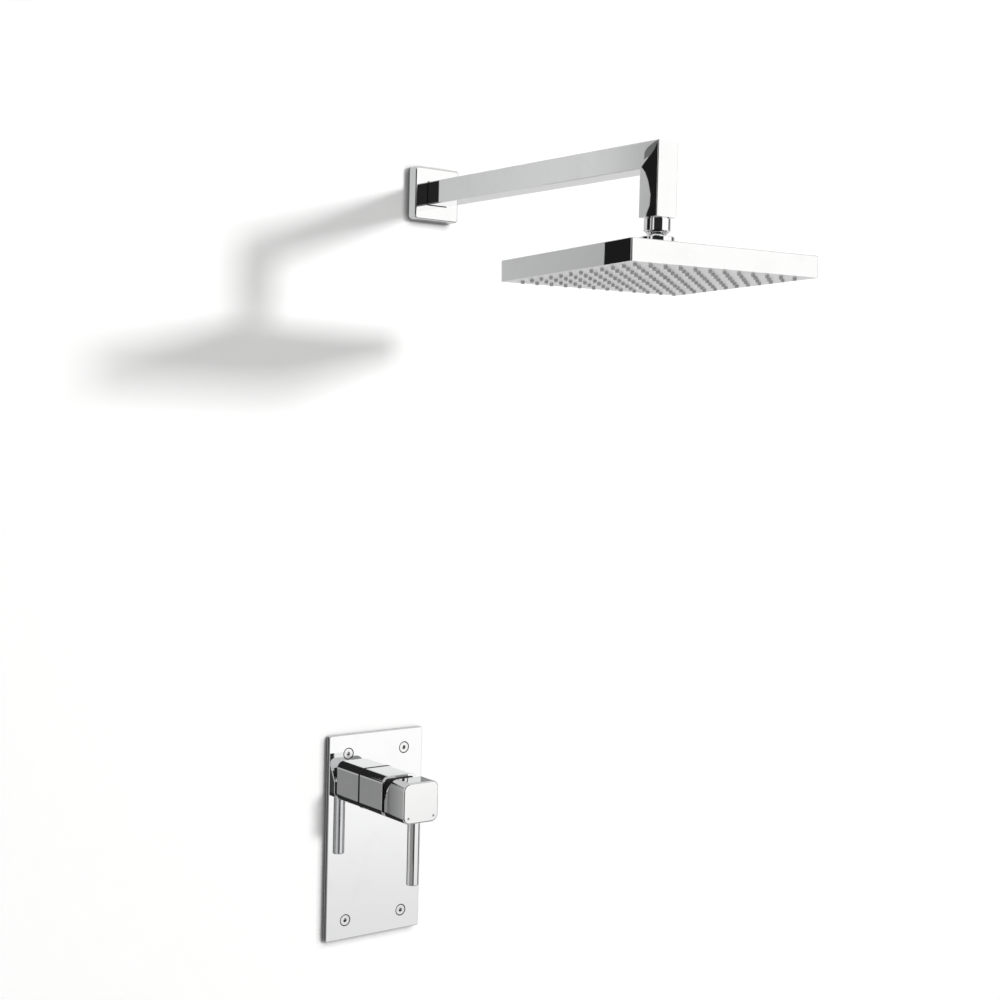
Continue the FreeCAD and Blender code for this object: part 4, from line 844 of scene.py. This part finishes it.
@dataclass(frozen=True)
class PhotoCamera:
    """Camera at the photograph's place, with angles in degrees."""

    place: Triple = (-0.9208, -1.428, 0.4295)
    yaw: float = 37.07
    pitch: float = -2.56
    roll: float = 1.42
    lens: float = 58.4
    sensor: float = 36.0
    sight: float = 50.0

    def axes(self) -> tuple[Vector, Vector, Vector]:
        """Work out the camera's directions.

        Returns:
            The ways that point right, up and ahead in the picture.
        """
        yaw, pitch, roll = (math.radians(turn) for turn in (self.yaw, self.pitch, self.roll))
        ahead = Vector((math.sin(yaw) * math.cos(pitch), math.cos(yaw) * math.cos(pitch),
                        math.sin(pitch)))
        level = Vector((math.cos(yaw), -math.sin(yaw), 0.0))
        above = level.cross(ahead)
        right = level * math.cos(roll) + above * math.sin(roll)
        up = above * math.cos(roll) - level * math.sin(roll)
        return right, up, ahead

    def build(self) -> None:
        """Make the camera and use it."""
        right, up, ahead = self.axes()
        data = bpy.data.cameras.new("photo_camera")
        data.lens = self.lens
        data.sensor_width = self.sensor
        data.clip_end = self.sight
        camera = hang("photo_camera", data)
        turn = Matrix((right, up, -ahead)).transposed().to_4x4()
        camera.matrix_world = Matrix.Translation(self.place) @ turn
        bpy.context.scene.camera = camera


@dataclass(frozen=True)
class Room:
    """Painted reflections of a room for polished metal: bright and dark bands, which light nothing.

    Upright bands go by the angle from the camera's way, in degrees. Layers go by how far a
    direction rises, from -1 straight down to 1 straight up, and each rise is blurred over a span.
    """

    black: float = 0.02
    grey: Span = (0.03, 0.30)
    grey_rise: Span = (-0.33, -0.27)
    white: Span = (0.84, 1.1)
    white_rise: Span = (-0.31, -0.19)
    white_foot: Span = (0.04, 1.0)
    foot_rise: Span = (-0.50, -0.44)
    far: float = 0.12
    far_band: float = 104.0
    low_bands: Span = (8.0, 28.0)
    high_band: float = 39.0
    window: float = 0.9
    window_bands: Span = (-45.0, -33.0)
    blur: float = 3.0
    horizon: float = 0.5
    horizon_rise: Span = (-0.165, -0.135)
    high_rise: Span = (0.02, 0.05)
    ceiling: float = 0.6
    ceiling_rise: Span = (0.17, 0.28)
    roof: float = 0.85
    roof_rise: Span = (0.62, 0.80)
    floor: float = 0.5
    floor_rise: Span = (-0.60, -0.80)
    back: Span = (0.35, 1.0)
    back_rise: Span = (-0.5, 0.6)
    back_edge: Span = (0.02, 0.12)

    def build(self, bench: Bench, yaw: float) -> Socket:
        """Make the pattern.

        Args:
            bench: The world's bench.
            yaw: The camera's turn from the wall's normal, in radians.

        Returns:
            The room's brightness.
        """
        where = bench.add("ShaderNodeTexCoord").outputs["Generated"]

        def along(way: Triple) -> Socket:
            """Measure the direction along a way."""
            dot = bench.add("ShaderNodeVectorMath", {1: way}, operation="DOT_PRODUCT")
            bench.join(where, dot.inputs[0])
            return dot.outputs["Value"]

        rise, inward = along((0.0, 0.0, 1.0)), along((0.0, 1.0, 0.0))
        angle = bench.math("ARCTAN2", along((math.cos(yaw), -math.sin(yaw), 0.0)),
                           along((-math.sin(yaw), -math.cos(yaw), 0.0)))

        def past(degrees: float) -> Socket:
            """Go from 0 to 1 at an angle."""
            return bench.span(angle, math.radians(degrees - self.blur),
                              math.radians(degrees + self.blur))

        white = bench.math("MULTIPLY", bench.span(rise, *self.white_rise, *self.white),
                           bench.span(rise, *self.foot_rise, *self.white_foot))
        white = bench.mix(past(self.far_band), white, self.far)
        grey = bench.span(rise, *self.grey_rise, *self.grey)
        low = bench.mix(past(self.low_bands[0]), grey, self.black)
        low = bench.mix(past(self.low_bands[1]), low, white)
        middle = bench.mix(past(self.high_band), self.horizon, white)
        high = bench.mix(past(self.window_bands[0]), self.black, self.window)
        high = bench.mix(past(self.window_bands[1]), high, self.black)
        high = bench.mix(past(self.high_band), high, white)
        level = low
        for edge, layer in ((self.horizon_rise, middle), (self.high_rise, high),
                            (self.ceiling_rise, self.ceiling), (self.roof_rise, self.roof),
                            (self.floor_rise, self.floor)):
            level = bench.mix(bench.span(rise, *edge), level, layer)
        back = bench.span(rise, *self.back_rise, *self.back)
        return bench.mix(bench.span(inward, *self.back_edge), level, back)


@dataclass(frozen=True)
class PaintedReflection:
    """A glowing sheet that only reflections show, graded along X: a painted reflection of dark or
    shaded surroundings.
    """

    name: str
    corners: tuple[Vector, ...]
    levels: Outline

    @classmethod
    def upright(cls, name: str, outline: Outline, depth: float, levels: Outline) -> "PaintedReflection":
        """Lay out a sheet along the wall.

        Args:
            name: Its name.
            outline: The X and Z of its corners.
            depth: Its Y.
            levels: X and brightness of each step of its grading.

        Returns:
            The sheet.
        """
        return cls(name, tuple(Vector((x, depth, z)) for x, z in outline), levels)

    def material(self) -> Material:
        """Make the sheet's glow, with a level at each X.

        Returns:
            The material.
        """
        material, bench = Bench.material(self.name)
        split = bench.add("ShaderNodeSeparateXYZ")
        bench.join(bench.add("ShaderNodeTexCoord").outputs["Object"], split.inputs[0])
        first, last = self.levels[0][0], self.levels[-1][0]
        share = bench.add("ShaderNodeMapRange", {1: first, 2: last})
        bench.join(split.outputs["X"], share.inputs[0])
        ramp = bench.add("ShaderNodeValToRGB")
        stops = ramp.color_ramp.elements
        while len(stops) < len(self.levels):
            stops.new(0.5)
        for stop, (place, level) in zip(stops, self.levels):
            stop.position = (place - first) / (last - first)
            stop.color = (level, level, level, 1.0)
        bench.join(share.outputs[0], ramp.inputs[0])
        glow = bench.add("ShaderNodeEmission")
        bench.join(ramp.outputs["Color"], glow.inputs["Color"])
        bench.show(glow.outputs[0])
        return material


@dataclass(frozen=True)
class Studio:
    """Plain studio: a white wall, a pale floor, a soft key, a fill in the wall, a surround, and
    glowing sheets that paint reflections.
    """

    wall_left: float = -2.4
    wall_right: float = 1.6
    wall_top: float = 2.0
    wall_set: float = 0.0008
    wall_tone: float = 0.8
    floor_level: float = -0.9
    floor_half: float = 4.8
    floor_colour: Colour = (0.78, 0.78, 0.78)
    # Outlines, levels and places of the sheets that paint dark reflections.
    dark_edge: Outline = (
        (-0.279, 0.634), (-0.273, 0.683), (-0.278, 0.694), (-0.279, 0.706), (-0.275, 0.722),
        (-0.270, 0.732), (-0.264, 0.737), (-0.269, 0.743), (-0.277, 0.752), (-0.283, 0.759),
        (-0.288, 0.768))
    leaf_edge: Outline = (
        (-0.267, 0.746), (-0.277, 0.752), (-0.283, 0.759), (-0.288, 0.768), (-0.289, 0.772),
        (-0.277, 0.764), (-0.272, 0.760), (-0.268, 0.755))
    dark_reach: Triple = (-1.3, 0.5, 0.8)
    dark_level: float = 0.012
    body_level: float = 0.02
    body_depth: float = -0.45
    knob_level: float = 0.05
    knob_side: float = -0.148
    key_slope: Span = (0.55, 0.20)
    key_distance: float = 7.0
    key_size: float = 0.75
    key_power: float = 100.0
    key_spread: float = math.radians(90.0)
    fill_place: Triple = (0.9, 2.4, 1.5)
    fill_size: float = 1.4
    fill_power: float = 60.0
    surround: float = 0.45
    surround_colour: Colour = (1.0, 0.99, 0.98)
    backdrop: float = 0.92
    camera_glow: float = 0.20
    floor_glow: float = 0.28
    # How bright reflections see the wall, as painted shade in reflections.
    glossy_share: float = 0.77
    # Reach, samples, lean and tones of the wall's painted contact shadow.
    contact: float = 0.010
    contact_samples: int = 8
    contact_lean: Triple = (0.62, -0.66, 0.42)
    contact_span: Span = (0.35, 0.95)
    contact_tones: Span = (0.12, 1.0)

    @staticmethod
    def sheet(name: str, corners: tuple[Vector, ...], material: Material) -> Piece:
        """Make one flat stage sheet.

        Args:
            name: The sheet's name.
            corners: Its corners, round the side that shows.
            material: Its material.

        Returns:
            The sheet.
        """
        mesh = bpy.data.meshes.new(name)
        mesh.from_pydata(corners, [], [tuple(range(len(corners)))])
        mesh.materials.append(material)
        piece = hang(name, mesh)
        return piece

    def wall_paint(self) -> Material:
        """White wall paint with painted soft contact shadows, painted darker to reflections, and
        clear from behind to show the pieces there.

        Returns:
            The material.
        """
        material, bench = Bench.material("wall_paint")
        path = bench.add("ShaderNodeLightPath").outputs
        # Painted contact shadow: occlusion round a leaning normal darkens the paint and its glow
        # beside the pieces, most on their left and below.
        lean = bench.add("ShaderNodeCombineXYZ", dict(enumerate(self.contact_lean)))
        near = bench.add("ShaderNodeAmbientOcclusion", {"Distance": self.contact},
                         samples=self.contact_samples)
        bench.join(lean.outputs[0], near.inputs["Normal"])
        open_share = bench.span(near.outputs["AO"], *self.contact_span, *self.contact_tones)
        # Reflections see the wall a flat, darker grey without the contact shadow: painted shade in
        # reflections.
        tone = bench.mix(path["Is Glossy Ray"], open_share, self.glossy_share)
        paint = bench.add("ShaderNodeBsdfDiffuse")
        bench.join(bench.math("MULTIPLY", tone, self.wall_tone), paint.inputs["Color"])
        shown = bench.math("MULTIPLY", path["Is Camera Ray"], self.camera_glow)
        front = bench.glowing(paint, bench.math("MULTIPLY", shown, open_share))
        behind = bench.add("ShaderNodeNewGeometry").outputs["Backfacing"]
        solid = bench.math("SUBTRACT", 1.0, path["Is Shadow Ray"])
        side = bench.add("ShaderNodeMixShader")
        bench.join(bench.math("MULTIPLY", behind, solid), side.inputs[0])
        bench.join(front, side.inputs[1])
        bench.join(bench.add("ShaderNodeBsdfTransparent").outputs[0], side.inputs[2])
        bench.show(side.outputs[0])
        return material

    def floor_paint(self) -> Material:
        """Pale matte floor paint, a little paler to the camera alone.

        Returns:
            The material.
        """
        material, bench = Bench.material("floor_paint")
        paint = bench.add("ShaderNodeBsdfDiffuse", {"Color": (*self.floor_colour, 1.0)})
        shown = bench.add("ShaderNodeLightPath").outputs["Is Camera Ray"]
        bench.show(bench.glowing(paint, bench.math("MULTIPLY", shown, self.floor_glow)))
        return material

    def wall_reflections(self) -> list[PaintedReflection]:
        """Lay out the painted-reflection sheets close to the wall: dark for the arm's drop, grey
        painted shade for arm and head.

        Returns:
            The flags.
        """
        near, (far, low, high) = -self.wall_set, self.dark_reach
        first, last = self.dark_edge[0][0], self.dark_edge[-1][0]
        dark = ((far, low), (first, low), *self.dark_edge, (last, high), (far, high))
        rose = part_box("arm_escutcheon")[0].x - self.wall_set / 2
        return [
            PaintedReflection.upright("stage_painted_dark_reflection", dark, near,
                         ((far, self.dark_level), (last, self.dark_level))),
            PaintedReflection.upright("stage_painted_leaf_reflection", self.leaf_edge, 2 * near,
                         ((-0.3, 0.14), (-0.26, 0.17))),
            # The grey sheets paint the wall's shade into the arm's and head's reflections.
            PaintedReflection.upright("stage_arm_shade", oblong(-0.30, -0.12, 0.665, 0.80), near / 2,
                         ((-0.275, 0.48), (-0.255, 0.52), (-0.215, 0.62), (-0.19, 0.66),
                          (-0.12, 0.66))),
            PaintedReflection.upright("stage_head_shade", oblong(-0.30, -0.13, 0.55, 0.665), near / 2,
                         ((-0.28, 0.45), (-0.16, 0.52), (-0.13, 0.60))),
            PaintedReflection.upright("stage_rose_shade", oblong(-0.12, rose, 0.60, 0.75), near / 2,
                         ((-0.12, 0.66), (rose, 0.58))),
        ]

    def mixer_reflections(self) -> list[PaintedReflection]:
        """Lay out the painted-reflection sheets round the mixer: a painted contact shadow beside
        the plate, painted shade right of it, and dark above the body and before the knob.

        Returns:
            The flags.
        """
        near = -self.wall_set
        low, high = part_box("trim_plate")
        left, right = low.x - self.wall_set / 2, high.x + self.wall_set / 2
        # Steps of the painted contact shadow beside the plate, darkest at its edge.
        steps = ((0.055, 0.66), (0.035, 0.5), (0.02, 0.36), (0.005, 0.22), (0.0, 0.06))
        knob = tuple(Vector((self.knob_side, y, z)) for y, z in oblong(-0.310, -0.257, -0.08, 0.05))
        return [
            PaintedReflection.upright("stage_plate_shade", oblong(left - steps[0][0], left, low.z, high.z), near,
                         tuple((left - reach, level) for reach, level in steps)),
            PaintedReflection.upright("stage_right_shade", oblong(right, 0.6, low.z, 0.2), near,
                         ((right, 0.30), (0.6, 0.45))),
            PaintedReflection.upright("stage_painted_body_reflection", oblong(-0.32, 0.22, 0.12, 0.42), self.body_depth,
                         ((-0.32, self.body_level), (0.22, self.body_level))),
            PaintedReflection("stage_painted_knob_reflection", knob, ((-0.2, self.knob_level), (-0.1, self.knob_level))),
        ]

    def build_sheets(self) -> None:
        """Make the wall, the floor and the sheets of painted reflection."""
        wall = oblong(self.wall_left, self.wall_right, self.floor_level, self.wall_top)
        spots = tuple(Vector((x, self.wall_set, z)) for x, z in wall)
        self.sheet("stage_wall", spots, self.wall_paint())
        ground = oblong(-self.floor_half, self.floor_half, -self.floor_half, self.floor_half)
        spots = tuple(Vector((*spot, self.floor_level)) for spot in ground)
        floor = self.sheet("stage_floor", spots, self.floor_paint())
        floor.visible_glossy = False
        for painted_sheet in self.wall_reflections() + self.mixer_reflections():
            piece = self.sheet(painted_sheet.name, painted_sheet.corners, painted_sheet.material())
            # Only glossy rays see the sheets' glow, so they paint reflections alone.
            for ray in ("camera", "diffuse", "shadow", "transmission"):
                setattr(piece, f"visible_{ray}", False)

    @staticmethod
    def lamp(name: str, place: Vector, aim: Vector, size: float, power: float) -> Piece:
        """Hang one square soft lamp.

        Args:
            name: The lamp's name.
            place: Where it hangs.
            aim: The point that it faces.
            size: Its side.
            power: Its power in watts.

        Returns:
            The lamp.
        """
        data = bpy.data.lights.new(name, "AREA")
        data.size = size
        data.energy = power
        light = hang(name, data)
        turn = (aim - place).to_track_quat("-Z", "Y").to_matrix().to_4x4()
        light.matrix_world = Matrix.Translation(place) @ turn
        return light

    def build_lamps(self) -> None:
        """Hang the key to the right of the arm, and a fill behind the wall for the pieces in it."""
        low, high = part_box("arm_tube")
        aim = (low + high) / 2
        aim.y = 0.0
        side, rise = self.key_slope
        place = aim + Vector((side, -1.0, rise)) * self.key_distance
        key = self.lamp("key", place, aim, self.key_size, self.key_power)
        key.data.spread = self.key_spread
        key.visible_glossy = False
        self.lamp("fill", Vector(self.fill_place), aim / 2, self.fill_size, self.fill_power)

    def build_surround(self, camera: PhotoCamera) -> None:
        """Light everything evenly, and let metal alone see the room's bands, a painted reflection.

        Args:
            camera: The camera, whose way the bands are measured from.
        """
        world = bpy.data.worlds.new("surround")
        bpy.context.scene.world = world
        world.use_nodes = True
        bench = Bench(world.node_tree)
        bands = Room().build(bench, math.radians(camera.yaw))
        path = bench.add("ShaderNodeLightPath").outputs
        # Glossy rays alone see the painted bands; other rays see the even surround.
        level = bench.mix(path["Is Glossy Ray"], self.surround, bands)
        level = bench.mix(path["Is Camera Ray"], level, self.backdrop)
        light = bench.add("ShaderNodeBackground", {"Color": (*self.surround_colour, 1.0)})
        bench.join(level, light.inputs["Strength"])
        bench.show(light.outputs[0], "ShaderNodeOutputWorld")

    def build(self, camera: PhotoCamera) -> None:
        """Set the stage and its light for the camera."""
        self.build_sheets()
        self.build_lamps()
        self.build_surround(camera)
        bpy.context.scene.view_settings.view_transform = "Standard"


def main() -> None:
    """Dress the mixer, set the stage and place the camera."""
    logging.basicConfig(level=logging.INFO, format="%(name)s %(message)s")
    rack = FinishRack()
    for group in (TrimAndHandle(), Cartridge(), WallPieces(), WallArm(), RainHead()):
        group.dress(rack)
        group.build(rack)
    camera = PhotoCamera()
    camera.build()
    Studio().build(camera)


if __name__ == "__main__":
    main()
